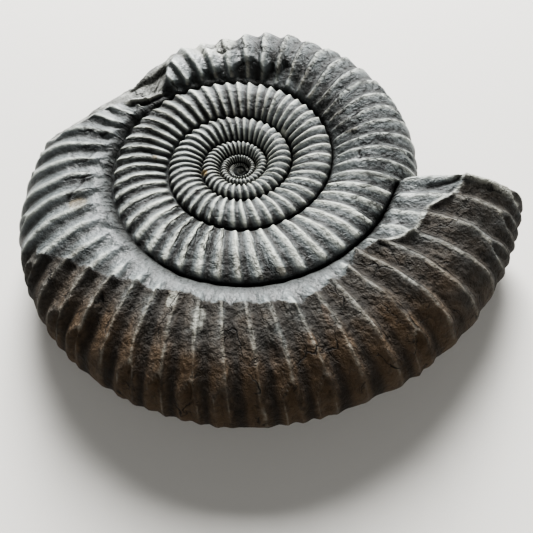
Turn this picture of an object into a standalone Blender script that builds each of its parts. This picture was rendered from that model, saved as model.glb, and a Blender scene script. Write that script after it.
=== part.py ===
"""Dactylioceras ammonite fossil, lying on its reverse flank.

The shell is one tube that winds outwards in a plane. Its cross-section is a rounded oval that
grows with every turn and laps a little over the turn before it. Strong ribs cross the flanks,
lean forward, and fork where they reach the outer edge. The coil's axis is +Z, the aperture end
points along +X, and the shell grows anticlockwise seen from above. The fossil rests on the worn
rib crests of its lower flank, at z = 0.
"""

import math

import bmesh
import bpy
import numpy as np

MM = 0.001

# Driving dimensions. A turn of 0 is the aperture, -1 is one turn further in, and so on.
# Distance from the coil's axis to the outer edge of the whorl, in mm, at each turn.
OUTER_RADIUS = (
    (0.0, 45.9),
    (-0.05, 44.0),
    (-0.12, 42.4),
    (-0.25, 40.7),
    (-0.4, 37.7),
    (-0.5, 35.0),
    (-0.57, 34.1),
    (-0.62, 32.3),
    (-0.66, 31.0),
    (-0.7, 31.1),
    (-0.75, 33.2),
    (-0.8, 32.8),
    (-1.0, 29.3),
    (-1.25, 26.7),
    (-1.5, 23.4),
    (-2.0, 17.6),
    (-2.5, 13.0),
    (-3.0, 9.6),
    (-3.5, 7.1),
    (-4.0, 5.2),
    (-5.0, 2.9),
    (-6.0, 1.6),
)
# Half of the whorl's thickness above the middle plane, in mm.
UPPER_HALF_THICKNESS = (
    (0.0, 7.5),
    (-0.25, 7.7),
    (-0.5, 7.6),
    (-0.75, 7.5),
    (-1.0, 6.8),
    (-1.5, 6.1),
    (-2.0, 5.3),
    (-2.5, 5.0),
    (-3.0, 4.5),
    (-3.5, 3.8),
    (-4.0, 3.2),
    (-5.0, 2.5),
    (-6.0, 2.2),
)
# Below the middle plane the last whorl keeps one depth, so that it lies flat all round.
LOWER_HALF_THICKNESS = (
    (0.0, 7.7),
    (-0.4, 7.7),
    (-0.7, 7.7),
    (-0.82, 7.65),
    (-1.0, 7.1),
) + UPPER_HALF_THICKNESS[5:]
# How many ribs each quarter turn has, from the aperture inwards.
RIBS_PER_QUARTER = (
    13.6, 12.9, 11.8, 12.3,
    12.4, 11.8, 12.2, 12.4,
    11.0, 10.5, 11.1, 9.8,
    9.6, 9.4, 9.2, 9.0,
    8.6, 8.4, 8.2, 8.0,
)
RIB_AT_TURN_ZERO = 0.5  # the aperture end broke along the crest of rib 0, just before turn 0
# Height of the ribs, crest to hollow, as a share of the distance between two ribs.
RIB_RELIEF = ((0.0, 0.22), (-0.9, 0.24), (-1.4, 0.28), (-6.0, 0.3))
OUTER_EDGE_RELIEF = 0.4  # how much of that is left where the ribs have forked
RIB_BACK = 0.66  # the side behind a crest is this share of the rib, and the one ahead is steep
BACK_POWER, FRONT_POWER = 1.25, 1.6  # 1 is a straight slope, and more makes a hollow one
MEAN_RELIEF = 0.4  # the part of a rib's height that the smooth section already holds
OVERLAP = 0.275  # how far a whorl reaches in over the one before, as a share of its radius
SECTION_POWER = 1.1  # 1 is a true oval, and more makes the flanks a little flatter
LEAN_LINEAR = 3.0  # degrees that a rib leans forward from mid-flank to the outer edge
LEAN_SQUARED = -1.5
FIRST_TURN = -5.0  # where the modelled spiral starts, in the middle
SMOOTH_BEFORE = -4.2  # inside this turn the ribs are too small to model
FORK_STARTS, FORK_ENDS = 62.0, 36.0  # section angles between which one rib becomes two
SEAM_GROOVE = 0.13  # depth of the groove between two whorls, as a share of the half thickness
REST_CUT = 0.25  # how much is worn off the lowest rib crests, in mm
# The broken outer corner, a slanting face: its direction, its distance out and its slope.
BREAK_AZIMUTH = 141.9
BREAK_DISTANCE = 31.6
BREAK_SLOPE = 1.25
BREAK_START = 140.4  # the break begins at a step, which rises between these two directions
BREAK_STEP_TOP = 137.2
BREAK_STEP = 2.5
BREAK_SCOOP = 4.0  # its middle is scooped out by this much, over this many degrees
BREAK_SCOOP_WIDTH = 16.0
CENTRE_DROP = 0.5  # how deep the pit in the middle is, in mm
CENTRE_REACH = 0.3  # how far off the axis its lowest point is, as a share of the first radius
CENTRE_AWAY = 75.0  # and how many degrees behind the start of the spiral
END_HOLLOW = 1.0  # how far the broken aperture end is dished, in mm

STONE_COLOUR = (0.052, 0.054, 0.055, 1.0)
STONE_ROUGHNESS = 0.55

# Rows of points across a column: seam, three on the upper flank, round the outer edge, two on
# the lower flank, seam. The shares say how far each flank row is from one seam to the next.
UPPER_INSIDE = (1, 2, 3)
OUTER_UP, OUTER_DOWN = 4, 9
LOWER_INSIDE = (10, 11)
LAST_ROW = 12
UPPER_SHARES = (0.0, 0.22, 0.52, 0.82, 1.0)
LOWER_SHARES = (0.0, 0.3, 0.72, 1.0)
CORNER_ANGLE = 55.0  # section angle of the rows where an outer whorl's flank turns to its edge
CORNER_COLUMNS = 8.0  # columns over which the corner moves there from the earlier whorl's seam
HALVINGS = 40
TABLE_STEP = 0.005  # turns between two entries of the rib table


def smooth_through(points, turn):
    """A smooth curve through (turn, value) points, worked in logarithms with cubic pieces."""
    turns = np.array([point[0] for point in points])[::-1]
    logs = np.log([point[1] for point in points])[::-1]
    slopes = np.gradient(logs, turns)
    turn = np.asarray(turn, float)
    piece = np.clip(np.searchsorted(turns, turn) - 1, 0, len(turns) - 2)
    width = turns[piece + 1] - turns[piece]
    s = (turn - turns[piece]) / width
    start = (2 * s**3 - 3 * s**2 + 1) * logs[piece] + (s**3 - 2 * s**2 + s) * width * slopes[piece]
    end = (3 * s**2 - 2 * s**3) * logs[piece + 1] + (s**3 - s**2) * width * slopes[piece + 1]
    return np.exp(start + end)


def rib_table():
    """Turns and the rib number at each, one fine table for reading either from the other.

    The rib rate is blended from quarter to quarter, and the sum of it is then put right at each
    quarter turn, so that every quarter holds the ribs stated for it.
    """
    quarters = -0.25 * np.arange(len(RIBS_PER_QUARTER) + 1)
    numbers = RIB_AT_TURN_ZERO - np.concatenate([[0.0], np.cumsum(RIBS_PER_QUARTER)])
    rate = np.array(RIBS_PER_QUARTER) / 0.25
    fine = np.arange(FIRST_TURN, TABLE_STEP / 2, TABLE_STEP)
    middles = quarters[:-1] - 0.125
    smooth_rate = np.interp(fine, middles[::-1], rate[::-1])
    gained = (smooth_rate[1:] + smooth_rate[:-1]) / 2 * TABLE_STEP
    total = np.concatenate([[0.0], np.cumsum(gained)])
    drift = np.interp(fine, quarters[::-1], numbers[::-1]) - total
    knots = np.interp(quarters[::-1], fine, drift)
    return fine, total + np.interp(fine, quarters[::-1], knots)


RIB_TURNS, RIB_NUMBERS = rib_table()


def whorl(turn, upper=True):
    """Centre radius, half height and half thickness of the cross-section at a turn, in mm."""
    outer = smooth_through(OUTER_RADIUS, turn)
    inner = smooth_through(OUTER_RADIUS, np.asarray(turn) - 1.0) * (1.0 - OVERLAP)
    table = UPPER_HALF_THICKNESS if upper else LOWER_HALF_THICKNESS
    return (outer + inner) / 2, (outer - inner) / 2, smooth_through(table, turn)


def oval(turn, angle, upper=True):
    """Radius and height on the smooth section; the angle is 0 at the outer edge, 90 on top."""
    centre, half, thick = whorl(turn, upper)
    c, s = np.cos(np.radians(angle)), np.sin(np.radians(angle))
    radius = centre + half * np.sign(c) * np.abs(c) ** SECTION_POWER
    return radius, thick * np.sign(s) * np.abs(s) ** SECTION_POWER


def seam(turn, upper=True):
    """Section angles where a whorl meets the whorl before it: on itself, and on that one.

    The place is found by halving the stretch between the whorl's top and its inner edge until
    its surface is as high there as the earlier whorl's.
    """
    turn = np.asarray(turn, float)
    low, high = np.full(turn.shape, 95.0), np.full(turn.shape, 179.0)
    past_centre, past_half, past_thick = whorl(turn - 1.0, upper)

    def height_over(radius):
        across = np.clip(np.abs(radius - past_centre) / past_half, 0.0, 1.0)
        angle = np.arccos(across ** (1 / SECTION_POWER))
        return past_thick * np.sin(angle) ** SECTION_POWER, angle

    for _ in range(HALVINGS):
        angle = (low + high) / 2
        radius, height = oval(turn, angle, upper)
        above = np.abs(height) > height_over(radius)[0]
        low = np.where(above, angle, low)
        high = np.where(above, high, angle)
    return low, np.degrees(height_over(oval(turn, low, upper)[0])[1])


def lean(angle):
    """Degrees round the coil by which a rib is ahead of its mid-flank point."""
    step = (90.0 - np.abs(angle)) / 90.0
    return LEAN_LINEAR * step + LEAN_SQUARED * step**2


def rib_height(number, angle, turn):
    """Height of the ribs over the smooth section, in mm: one crest per rib, two past the fork."""
    spacing = 2 * math.pi * whorl(turn)[0] / np.gradient(RIB_NUMBERS, RIB_TURNS)[
        np.clip(np.searchsorted(RIB_TURNS, turn), 0, len(RIB_TURNS) - 1)
    ]
    off = number - math.ceil(number - (1.0 - RIB_BACK))
    side, power = (RIB_BACK, BACK_POWER) if off < 0 else (1.0 - RIB_BACK, FRONT_POWER)
    single = (1.0 - min(abs(off) / side, 1.0)) ** power
    double = 0.5 - OUTER_EDGE_RELIEF * 0.5 * math.cos(4 * math.pi * number)
    forked = np.clip((FORK_STARTS - np.abs(angle)) / (FORK_STARTS - FORK_ENDS), 0.0, 1.0)
    profile = single + (double - single) * forked * forked * (3 - 2 * forked)
    return smooth_through(RIB_RELIEF, turn) * spacing * (profile - MEAN_RELIEF)


def break_off(radius, height, around, turn):
    """Pulls points beyond the broken corner back onto its slanting, scooped face."""
    centre = whorl(turn)[0]
    facing = math.cos(math.radians(BREAK_AZIMUTH) - around)
    direction = math.degrees(around) % 360
    scoop = BREAK_SCOOP * math.exp(-(((direction - BREAK_AZIMUTH) / BREAK_SCOOP_WIDTH) ** 2))
    scoop *= min(max((height + 1.0) / 4.0, 0.0), 1.0)
    step = (BREAK_START - direction) / (BREAK_START - BREAK_STEP_TOP)
    limit = BREAK_DISTANCE - scoop + BREAK_STEP * min(max(step, 0.0), 1.5)
    past = radius * facing + BREAK_SLOPE * height - limit
    if past <= 0 or facing < 0.5 or turn < -1.0:
        return radius, height
    whole = (radius - centre) * facing + BREAK_SLOPE * height
    keep = 1.0 - past / whole
    return centre + (radius - centre) * keep, height * keep


def shell_point(number, turn, angle, ribbed=True):
    """A point of the ribbed shell, in mm, from its rib number, its turn and its section angle."""
    upper = angle >= 0
    ahead = turn + float(lean(angle)) / 360.0
    radius, height = (float(value) for value in oval(ahead, angle, upper))
    if ribbed:
        _, half, thick = whorl(ahead, upper)
        out = math.cos(math.radians(angle)) / half
        up = math.sin(math.radians(angle)) / thick
        rise = float(rib_height(number, angle, turn)) / math.hypot(out, up)
        radius += rise * out
        height += rise * up
    around = 2 * math.pi * ahead
    radius, height = break_off(radius, height, around, turn)
    return [radius * math.cos(around), radius * math.sin(around), height]


def column_numbers():
    """Rib numbers of the columns: four per rib on the last whorl, two further in."""
    start = round(float(np.interp(-1.0, RIB_TURNS, RIB_NUMBERS)) * 2) / 2
    middle = math.ceil(float(np.interp(SMOOTH_BEFORE, RIB_TURNS, RIB_NUMBERS)))
    first = math.ceil(RIB_NUMBERS[0])
    inner = np.concatenate([np.arange(first, middle, 1.0), np.arange(middle, start, 0.5)])
    outer = np.arange(start, 0.01, 0.25)
    return np.concatenate([inner, outer]), len(inner)


def row_angles(turn, corner):
    """Section angles of the rows of one column, from the upper seam round to the lower one."""
    top = float(seam(turn, True)[0])
    bottom = float(seam(turn, False)[0])
    up = top + (corner - top) * np.array(UPPER_SHARES)
    edge = np.linspace(corner, -corner, 6)
    down = -corner + (corner - bottom) * np.array(LOWER_SHARES)
    return np.concatenate([up, edge[1:], down[1:]])


def zipped(bm, left, right, left_turns, right_turns):
    """Faces between two runs of points, always stepping to whichever comes next."""
    i = j = 0
    while i < len(left) - 1 or j < len(right) - 1:
        step_left = j == len(right) - 1 or (
            i < len(left) - 1 and left_turns[i + 1] <= right_turns[j + 1]
        )
        if step_left:
            bm.faces.new((left[i], left[i + 1], right[j]))
            i += 1
        else:
            bm.faces.new((left[i], right[j], right[j + 1]))
            j += 1


def fan(bm, loop, point):
    """Closes a loop of points with triangles to one point."""
    middle = bm.verts.new(point)
    for a, b in zip(loop, loop[1:] + loop[:1]):
        bm.faces.new((a, b, middle))


def corner_angle(i, ring, turn, ring_corner):
    """Section angle of a column's corner: the next whorl's seam, or the shoulder on the last."""
    if i < ring:
        return float(seam(turn + 1.0)[1])
    moved = min((i - ring) / CORNER_COLUMNS, 1.0)
    return ring_corner + (CORNER_ANGLE - ring_corner) * moved


def make_columns(bm, numbers, turns, ring):
    """Points of every column, as one {row: point} each. Covered rows have no points."""
    ring_corner = float(seam(turns[ring] + 1.0)[1])
    columns = []
    for i, (number, turn) in enumerate(zip(numbers, turns)):
        rows = {}
        for row, angle in enumerate(row_angles(turn, corner_angle(i, ring, turn, ring_corner))):
            covered = i < ring and OUTER_UP <= row <= OUTER_DOWN
            if covered or (i == ring and row in (OUTER_UP, OUTER_DOWN)):
                continue
            at_seam = row in (0, LAST_ROW)
            point = shell_point(number, turn, float(angle), not at_seam and turn > SMOOTH_BEFORE)
            if at_seam:
                point[2] *= 1.0 - SEAM_GROOVE
            rows[row] = bm.verts.new(point)
        columns.append(rows)
    columns[ring][OUTER_UP] = columns[-1][0]
    columns[ring][OUTER_DOWN] = columns[-1][LAST_ROW]
    return columns


def skin_columns(bm, columns, ring):
    """Faces along the tube. Before the ring, only the flanks that the next whorl leaves bare."""
    bare = [*range(UPPER_INSIDE[-1]), *range(LOWER_INSIDE[0], LAST_ROW)]
    for i in range(len(columns) - 1):
        here, there = columns[i], columns[i + 1]
        for row in bare if i < ring else range(LAST_ROW):
            bm.faces.new((here[row], there[row], there[row + 1], here[row + 1]))


def close_middle(bm, columns, covered, first_turn):
    """Closes the small opening in the middle of each flank, down to a shallow pit."""
    away = 2 * math.pi * first_turn - math.radians(CENTRE_AWAY)
    for seam_row, start_rows, side in ((0, (3, 2, 1), 1.0), (LAST_ROW, (10, 11), -1.0)):
        loop = [columns[i][seam_row] for i in range(covered + 1)]
        loop += [columns[0][row] for row in start_rows]
        reach = CENTRE_REACH * math.hypot(loop[0].co.x, loop[0].co.y)
        depth = side * (abs(loop[0].co.z) - CENTRE_DROP)
        fan(bm, loop, (reach * math.cos(away), reach * math.sin(away), depth))


def close_end(bm, columns, ring, turn):
    """Closes the broken aperture end with a dished face."""
    loop = [columns[-1][row] for row in range(LAST_ROW + 1)]
    loop += [columns[ring][row] for row in range(OUTER_DOWN - 1, OUTER_UP, -1)]
    centre = float(whorl(turn)[0])
    around = 2 * math.pi * turn - END_HOLLOW / centre
    fan(bm, loop, (centre * math.cos(around), centre * math.sin(around), 0.0))


def shell_mesh():
    """The whole shell as one closed surface, in mm, with the coil's axis at the origin."""
    bm = bmesh.new()
    numbers, ring = column_numbers()
    turns = np.interp(numbers, RIB_NUMBERS, RIB_TURNS)
    columns = make_columns(bm, numbers, turns, ring)
    skin_columns(bm, columns, ring)

    covered = int(np.searchsorted(turns, turns[0] + 1.0))
    for row, seam_row in ((UPPER_INSIDE[-1], 0), (LOWER_INSIDE[0], LAST_ROW)):
        left = [columns[i][row] for i in range(ring + 1)]
        right = [columns[i][seam_row] for i in range(covered, len(columns))]
        zipped(bm, left, right, turns[: ring + 1], turns[covered:] - 1.0)
    close_middle(bm, columns, covered, turns[0])
    close_end(bm, columns, ring, turns[-1])
    return bm


def rest_on_floor(bm):
    """Cuts the lowest crests flat and moves the shell so that it stands centred on z = 0."""
    floor = min(vert.co.z for vert in bm.verts) + REST_CUT
    everything = bm.verts[:] + bm.edges[:] + bm.faces[:]
    cut = bmesh.ops.bisect_plane(
        bm, geom=everything, plane_co=(0, 0, floor), plane_no=(0, 0, -1), clear_outer=True
    )
    edges = [item for item in cut["geom_cut"] if isinstance(item, bmesh.types.BMEdge)]
    bmesh.ops.holes_fill(bm, edges=edges, sides=0)
    low = [min(vert.co[axis] for vert in bm.verts) for axis in range(3)]
    high = [max(vert.co[axis] for vert in bm.verts) for axis in range(3)]
    shift = (-(low[0] + high[0]) / 2, -(low[1] + high[1]) / 2, -floor)
    bmesh.ops.translate(bm, vec=shift, verts=bm.verts[:])
    bmesh.ops.scale(bm, vec=(MM, MM, MM), verts=bm.verts[:])


def stone_material():
    """Dark slate-grey stone with a dull natural polish."""
    material = bpy.data.materials.new("dark_stone")
    material.use_nodes = True
    shader = material.node_tree.nodes["Principled BSDF"]
    shader.inputs["Base Color"].default_value = STONE_COLOUR
    shader.inputs["Roughness"].default_value = STONE_ROUGHNESS
    shader.inputs["Metallic"].default_value = 0.0
    return material


def main():
    """Clears the scene and builds the fossil in a collection of its own."""
    for existing in list(bpy.data.objects):
        bpy.data.objects.remove(existing, do_unlink=True)
    collection = bpy.data.collections.new("dactylioceras_ammonite_fossil")
    bpy.context.scene.collection.children.link(collection)

    bm = shell_mesh()
    rest_on_floor(bm)
    bmesh.ops.triangulate(bm, faces=bm.faces[:])
    bmesh.ops.recalc_face_normals(bm, faces=bm.faces[:])
    mesh = bpy.data.meshes.new("ammonite")
    bm.to_mesh(mesh)
    bm.free()
    mesh.materials.append(stone_material())
    mesh.shade_smooth()
    mesh.set_sharp_from_angle(angle=math.radians(60))
    ammonite = bpy.data.objects.new("ammonite", mesh)
    collection.objects.link(ammonite)


main()
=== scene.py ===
"""Looks of the dactylioceras ammonite fossil: one finely shaped piece of dark shell stone.

The shell is worked out as a surface of two parameters. The first is the growth turn, 0 at the
aperture and falling inwards. The second is the section angle, 0 at the whorl's outer edge, 90 on
top of the upper flank, -90 under the lower one. Ribs, forks, seams, the broken corner, cracks,
flaked places and crusts are heights added along the surface's normal, and the same masks drive
the stone's colours.
"""

import logging
import math
from dataclasses import dataclass, field
from enum import Enum

import bmesh
import bpy
import numpy as np
from mathutils import Matrix, Vector


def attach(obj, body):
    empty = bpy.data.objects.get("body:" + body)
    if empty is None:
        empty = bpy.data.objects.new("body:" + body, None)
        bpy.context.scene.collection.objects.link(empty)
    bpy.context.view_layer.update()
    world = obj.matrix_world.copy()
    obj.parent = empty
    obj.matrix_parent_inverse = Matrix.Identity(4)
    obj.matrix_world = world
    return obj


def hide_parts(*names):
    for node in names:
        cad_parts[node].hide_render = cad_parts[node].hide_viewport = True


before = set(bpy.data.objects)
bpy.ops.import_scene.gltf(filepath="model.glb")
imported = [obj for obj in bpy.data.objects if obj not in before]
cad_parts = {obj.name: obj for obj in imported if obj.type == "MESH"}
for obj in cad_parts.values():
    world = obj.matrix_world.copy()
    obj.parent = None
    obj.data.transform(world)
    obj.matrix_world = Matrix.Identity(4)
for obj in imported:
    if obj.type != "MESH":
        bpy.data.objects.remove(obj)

LOG = logging.getLogger("ammonite")
MM = 0.001
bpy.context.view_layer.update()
Array = np.ndarray
Marks = tuple[tuple[float, float], ...]


def smoothstep(low: float, high: float, value: Array) -> Array:
    """Eases from 0 at low to 1 at high.

    Args:
        low: where the result is 0.
        high: where it is 1. It may be below low, which turns the step round.
        value: the values to ease.

    Returns:
        3s^2 - 2s^3, where s is how far value is from low to high, kept within 0 and 1.
    """
    s = np.clip((value - low) / (high - low), 0.0, 1.0)
    return s * s * (3.0 - 2.0 * s)


def bell(distance: Array, width: float | Array) -> Array:
    """A bell of height 1: e to the minus square of distance over width."""
    return np.exp(-((distance / width) ** 2))


def spot(angle: Array, far: Array) -> Array:
    """Points at angles in degrees and distances from the middle: their cosine and sine parts."""
    return np.stack([np.cos(np.radians(angle)) * far, np.sin(np.radians(angle)) * far], -1)


@dataclass(frozen=True)
class Ramp:
    """Values between which something eases in, from none to full. Either may be the larger."""

    none: float
    full: float

    def share(self, value: Array) -> Array:
        """How much has eased in at each value, from 0 to 1."""
        return smoothstep(self.none, self.full, value)


@dataclass(frozen=True)
class Stretch:
    """A stretch of values with soft ends: it eases in along one ramp and out along the other."""

    start: Ramp
    end: Ramp

    def share(self, value: Array) -> Array:
        """How far inside each value is, from 0 to 1: the product of the two ramps."""
        return self.start.share(value) * self.end.share(value)


class Noise:
    """Repeatable noise in space: a seeded table of random numbers looked up at grid corners."""

    TABLE = 256
    OCTAVE_SHIFT = 17.3
    OCTAVE_SCALE = 1.6

    def __init__(self, seed: int) -> None:
        """Fills the tables.

        Args:
            seed: number that fixes the whole pattern.
        """
        draw = np.random.default_rng(seed)
        self.order = draw.permutation(self.TABLE)
        self.values = draw.uniform(-1.0, 1.0, self.TABLE)

    def _corner(self, cell: Array) -> Array:
        """Number within the table for each whole-number grid point."""
        last = self.TABLE - 1
        cell = cell & last
        first = self.order[cell[..., 0]]
        second = self.order[(first + cell[..., 1]) & last]
        return self.order[(second + cell[..., 2]) & last]

    def smooth(self, points: Array, size: float) -> Array:
        """Smooth value noise.

        Args:
            points: places, in the same unit as size.
            size: distance between two random values.

        Returns:
            The eight corner values of each cell blended by eased distances, from -1 to 1.
        """
        place = points / size
        cell = np.floor(place).astype(np.int64)
        part = place - cell
        ease = part * part * (3.0 - 2.0 * part)
        total = np.zeros(len(points))
        for corner in np.ndindex(2, 2, 2):
            weight = np.prod(np.where(np.array(corner) == 1, ease, 1.0 - ease), axis=-1)
            total += weight * self.values[self._corner(cell + np.array(corner))]
        return total

    def fractal(self, points: Array, size: float, octaves: int, gain: float) -> Array:
        """Sum of smooth noises, each half the size of the last and gain times its strength.

        Args:
            points: places, in the same unit as size.
            size: size of the coarsest noise.
            octaves: how many are added.
            gain: strength of each against the one before.

        Returns:
            The sum, scaled so that it stays about within -1 and 1.
        """
        total = np.zeros(len(points))
        strength, whole = 1.0, 0.0
        for octave in range(octaves):
            moved = points + self.OCTAVE_SHIFT * octave
            total += strength * self.smooth(moved, size / 2**octave)
            whole += strength
            strength *= gain
        return total / whole * self.OCTAVE_SCALE


@dataclass(frozen=True)
class Lumps:
    """Random relief: its height, the size of its coarsest lumps, their octaves and gain."""

    height: float
    size: float
    octaves: int
    gain: float = 0.5

    def over(self, noise: Noise, points: Array) -> Array:
        """Height of the lumps at each point, which may be in the photograph's plane."""
        places = np.pad(points, ((0, 0), (0, 3 - points.shape[1])))
        return self.height * noise.fractal(places, self.size, self.octaves, self.gain)


@dataclass(frozen=True)
class Spiral:
    """Driving sizes of the coil, in mm, and the formulas for its smooth surface and ribs."""

    outer_radius: Marks = (
        (0.0, 45.9), (-0.05, 44.0), (-0.12, 42.4), (-0.25, 40.7), (-0.4, 37.7), (-0.5, 35.0),
        (-0.57, 34.1), (-0.62, 32.3), (-0.66, 31.0), (-0.7, 31.1), (-0.75, 33.2), (-0.8, 32.8),
        (-1.0, 29.3), (-1.25, 26.7), (-1.5, 23.4), (-2.0, 17.6),
        (-2.5, 13.0), (-3.0, 9.6), (-3.5, 7.1), (-4.0, 5.2), (-5.0, 2.9), (-6.0, 1.6), (-7.0, 0.9),
    )
    upper_half: Marks = (
        (0.0, 7.5), (-0.25, 7.7), (-0.5, 7.6), (-0.75, 7.5), (-1.0, 6.8), (-1.5, 6.1),
        (-2.0, 5.3), (-2.5, 5.0), (-3.0, 4.5), (-3.5, 3.8), (-4.0, 3.2), (-5.0, 2.5), (-7.0, 2.0),
    )
    lower_half: Marks = (
        (0.0, 7.7), (-0.4, 7.7), (-0.7, 7.7), (-0.82, 7.65), (-1.0, 7.1), (-1.5, 6.1),
        (-2.0, 5.3), (-2.5, 5.0), (-3.0, 4.5), (-3.5, 3.8), (-4.0, 3.2), (-5.0, 2.5), (-7.0, 2.0),
    )
    # Growth turn and number of some rib crests, counted inwards from the aperture.
    rib_marks: Marks = (
        (-0.0094, 0.0), (-0.14, -7.0), (-0.284, -15.0), (-0.441, -23.0),
        (-0.521, -27.0), (-0.639, -33.0), (-0.774, -39.0), (-0.882, -44.0), (-0.996, -50.0),
        (-1.093, -55.0), (-1.2, -60.0), (-1.323, -66.0), (-1.43, -71.0), (-1.551, -77.0),
        (-1.661, -82.0), (-1.76, -87.0), (-1.89, -94.0), (-2.0, -99.0), (-2.115, -104.0),
        (-2.37, -115.0), (-2.515, -122.0), (-2.639, -127.0), (-2.864, -136.0), (-3.0, -141.0),
        (-4.0, -177.0), (-5.0, -209.0), (-6.0, -237.0), (-7.0, -261.0),
    )
    overlap: float = 0.275
    section_power: float = 1.1
    lean_linear: float = 3.0
    lean_squared: float = -1.5
    first_turn: float = -7.0
    # Where a seam's section angle is looked for, how often the range is halved, and the sizes of
    # the tables in which rib numbers are looked up.
    seam_from: float = 95.0
    seam_to: float = 179.0
    halvings: int = 36
    number_table: int = 6000
    spacing_table: int = 3000
    # The coil's axis in the frame, and the height of its middle plane.
    axis_x: float = -5.12
    axis_y: float = 3.757
    middle_height: float = 7.773

    @staticmethod
    def through(marks: Marks, at: Array, logs: bool = True) -> Array:
        """Smooth curve through marked values.

        Args:
            marks: (turn, value) pairs with falling turns.
            at: turns to read the curve at.
            logs: whether the pieces are drawn through the values' logarithms.

        Returns:
            Cubic pieces between the marks, with the slope at each taken from its neighbours.
        """
        turns = np.array([mark[0] for mark in marks])[::-1]
        values = np.array([mark[1] for mark in marks], float)[::-1]
        values = np.log(values) if logs else values
        slopes = np.gradient(values, turns)
        at = np.asarray(at, float)
        i = np.clip(np.searchsorted(turns, at) - 1, 0, len(turns) - 2)
        width = turns[i + 1] - turns[i]
        s = (at - turns[i]) / width
        start = (2 * s**3 - 3 * s**2 + 1) * values[i] + (s**3 - 2 * s**2 + s) * width * slopes[i]
        end = (3 * s**2 - 2 * s**3) * values[i + 1] + (s**3 - s**2) * width * slopes[i + 1]
        return np.exp(start + end) if logs else start + end

    def section(self, turn: Array, upper: Array) -> tuple[Array, Array, Array]:
        """Sizes of the whorl's oval cross-section.

        Args:
            turn: growth turns.
            upper: whether each is for the upper flank.

        Returns:
            Radius of the oval's centre, its half height and its half thickness, in mm. The oval
            reaches from the outer edge to the edge one turn before, less the overlap.
        """
        outer = self.through(self.outer_radius, turn)
        before = np.maximum(turn - 1.0, self.first_turn)
        inner = self.through(self.outer_radius, before) * (1.0 - self.overlap)
        thick_up = self.through(self.upper_half, turn)
        thick_down = self.through(self.lower_half, turn)
        return (outer + inner) / 2, (outer - inner) / 2, np.where(upper, thick_up, thick_down)

    def oval(self, turn: Array, angle: Array) -> tuple[Array, Array]:
        """Point on the smooth oval.

        Args:
            turn: growth turns.
            angle: section angles in degrees.

        Returns:
            Distance from the coil's axis and height over the middle plane, from cosine and sine
            raised to the section power with their signs kept.
        """
        centre, half, thick = self.section(turn, angle >= 0)
        c, s = np.cos(np.radians(angle)), np.sin(np.radians(angle))
        power = self.section_power
        radius = centre + half * np.sign(c) * np.abs(c) ** power
        return radius, thick * np.sign(s) * np.abs(s) ** power

    def seam(self, turn: Array, upper: bool) -> tuple[Array, Array]:
        """Where a whorl meets the whorl before it.

        Args:
            turn: growth turns.
            upper: whether the seam of the upper flank is asked for.

        Returns:
            Section angle of the meeting on the whorl itself, found by halving, and on the whorl
            before it, both as numbers from 0 to 180.
        """
        low, high = np.full(turn.shape, self.seam_from), np.full(turn.shape, self.seam_to)
        flank = np.full(turn.shape, upper)
        side = 1.0 if upper else -1.0
        centre, half, thick = self.section(np.maximum(turn - 1.0, self.first_turn), flank)
        past = low
        for _ in range(self.halvings):
            middle = (low + high) / 2
            radius, height = self.oval(turn, side * middle)
            across = np.clip(np.abs(radius - centre) / half, 0.0, 1.0) ** (1 / self.section_power)
            past = np.degrees(np.arccos(across))
            other = thick * np.sin(np.radians(past)) ** self.section_power
            outside = np.abs(height) > other
            low = np.where(outside, middle, low)
            high = np.where(outside, high, middle)
        return low, past

    def lean(self, angle: Array) -> Array:
        """Turns by which a rib is ahead of its mid-flank point: linear plus square in angle."""
        step = (90.0 - np.abs(angle)) / 90.0
        return (self.lean_linear * step + self.lean_squared * step**2) / 360.0

    def rib_number(self, turn: Array) -> Array:
        """Rib number at a mid-flank turn: whole numbers are crests."""
        return self.through(self.rib_marks, turn, logs=False)

    def turn_of_rib(self, number: Array) -> Array:
        """Mid-flank turn of a rib number, read backwards from a fine table."""
        fine = np.linspace(self.first_turn, self.rib_marks[0][0], self.number_table)
        return np.interp(number, self.rib_number(fine), fine)

    def rib_spacing(self, mid: Array) -> Array:
        """Distance in mm from one rib to the next.

        Args:
            mid: mid-flank turns.

        Returns:
            Length of a whole turn at the middle of the section, over the ribs in a turn.
        """
        fine = np.linspace(self.first_turn, self.rib_marks[0][0], self.spacing_table)
        rate = np.gradient(self.rib_number(fine), fine)
        centre = self.section(mid, np.ones(mid.shape, bool))[0]
        return 2 * np.pi * centre / np.interp(mid, fine, rate)

    @staticmethod
    def place(radius: Array, turn: Array, height: Array) -> Array:
        """Points on the coil's axes, from distances from its axis, growth turns and heights."""
        around = 2 * np.pi * turn
        return np.stack([radius * np.cos(around), radius * np.sin(around), height], -1)

    def shift(self) -> Array:
        """The coil's middle in the frame, in mm."""
        return np.array([self.axis_x, self.axis_y, self.middle_height])


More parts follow.
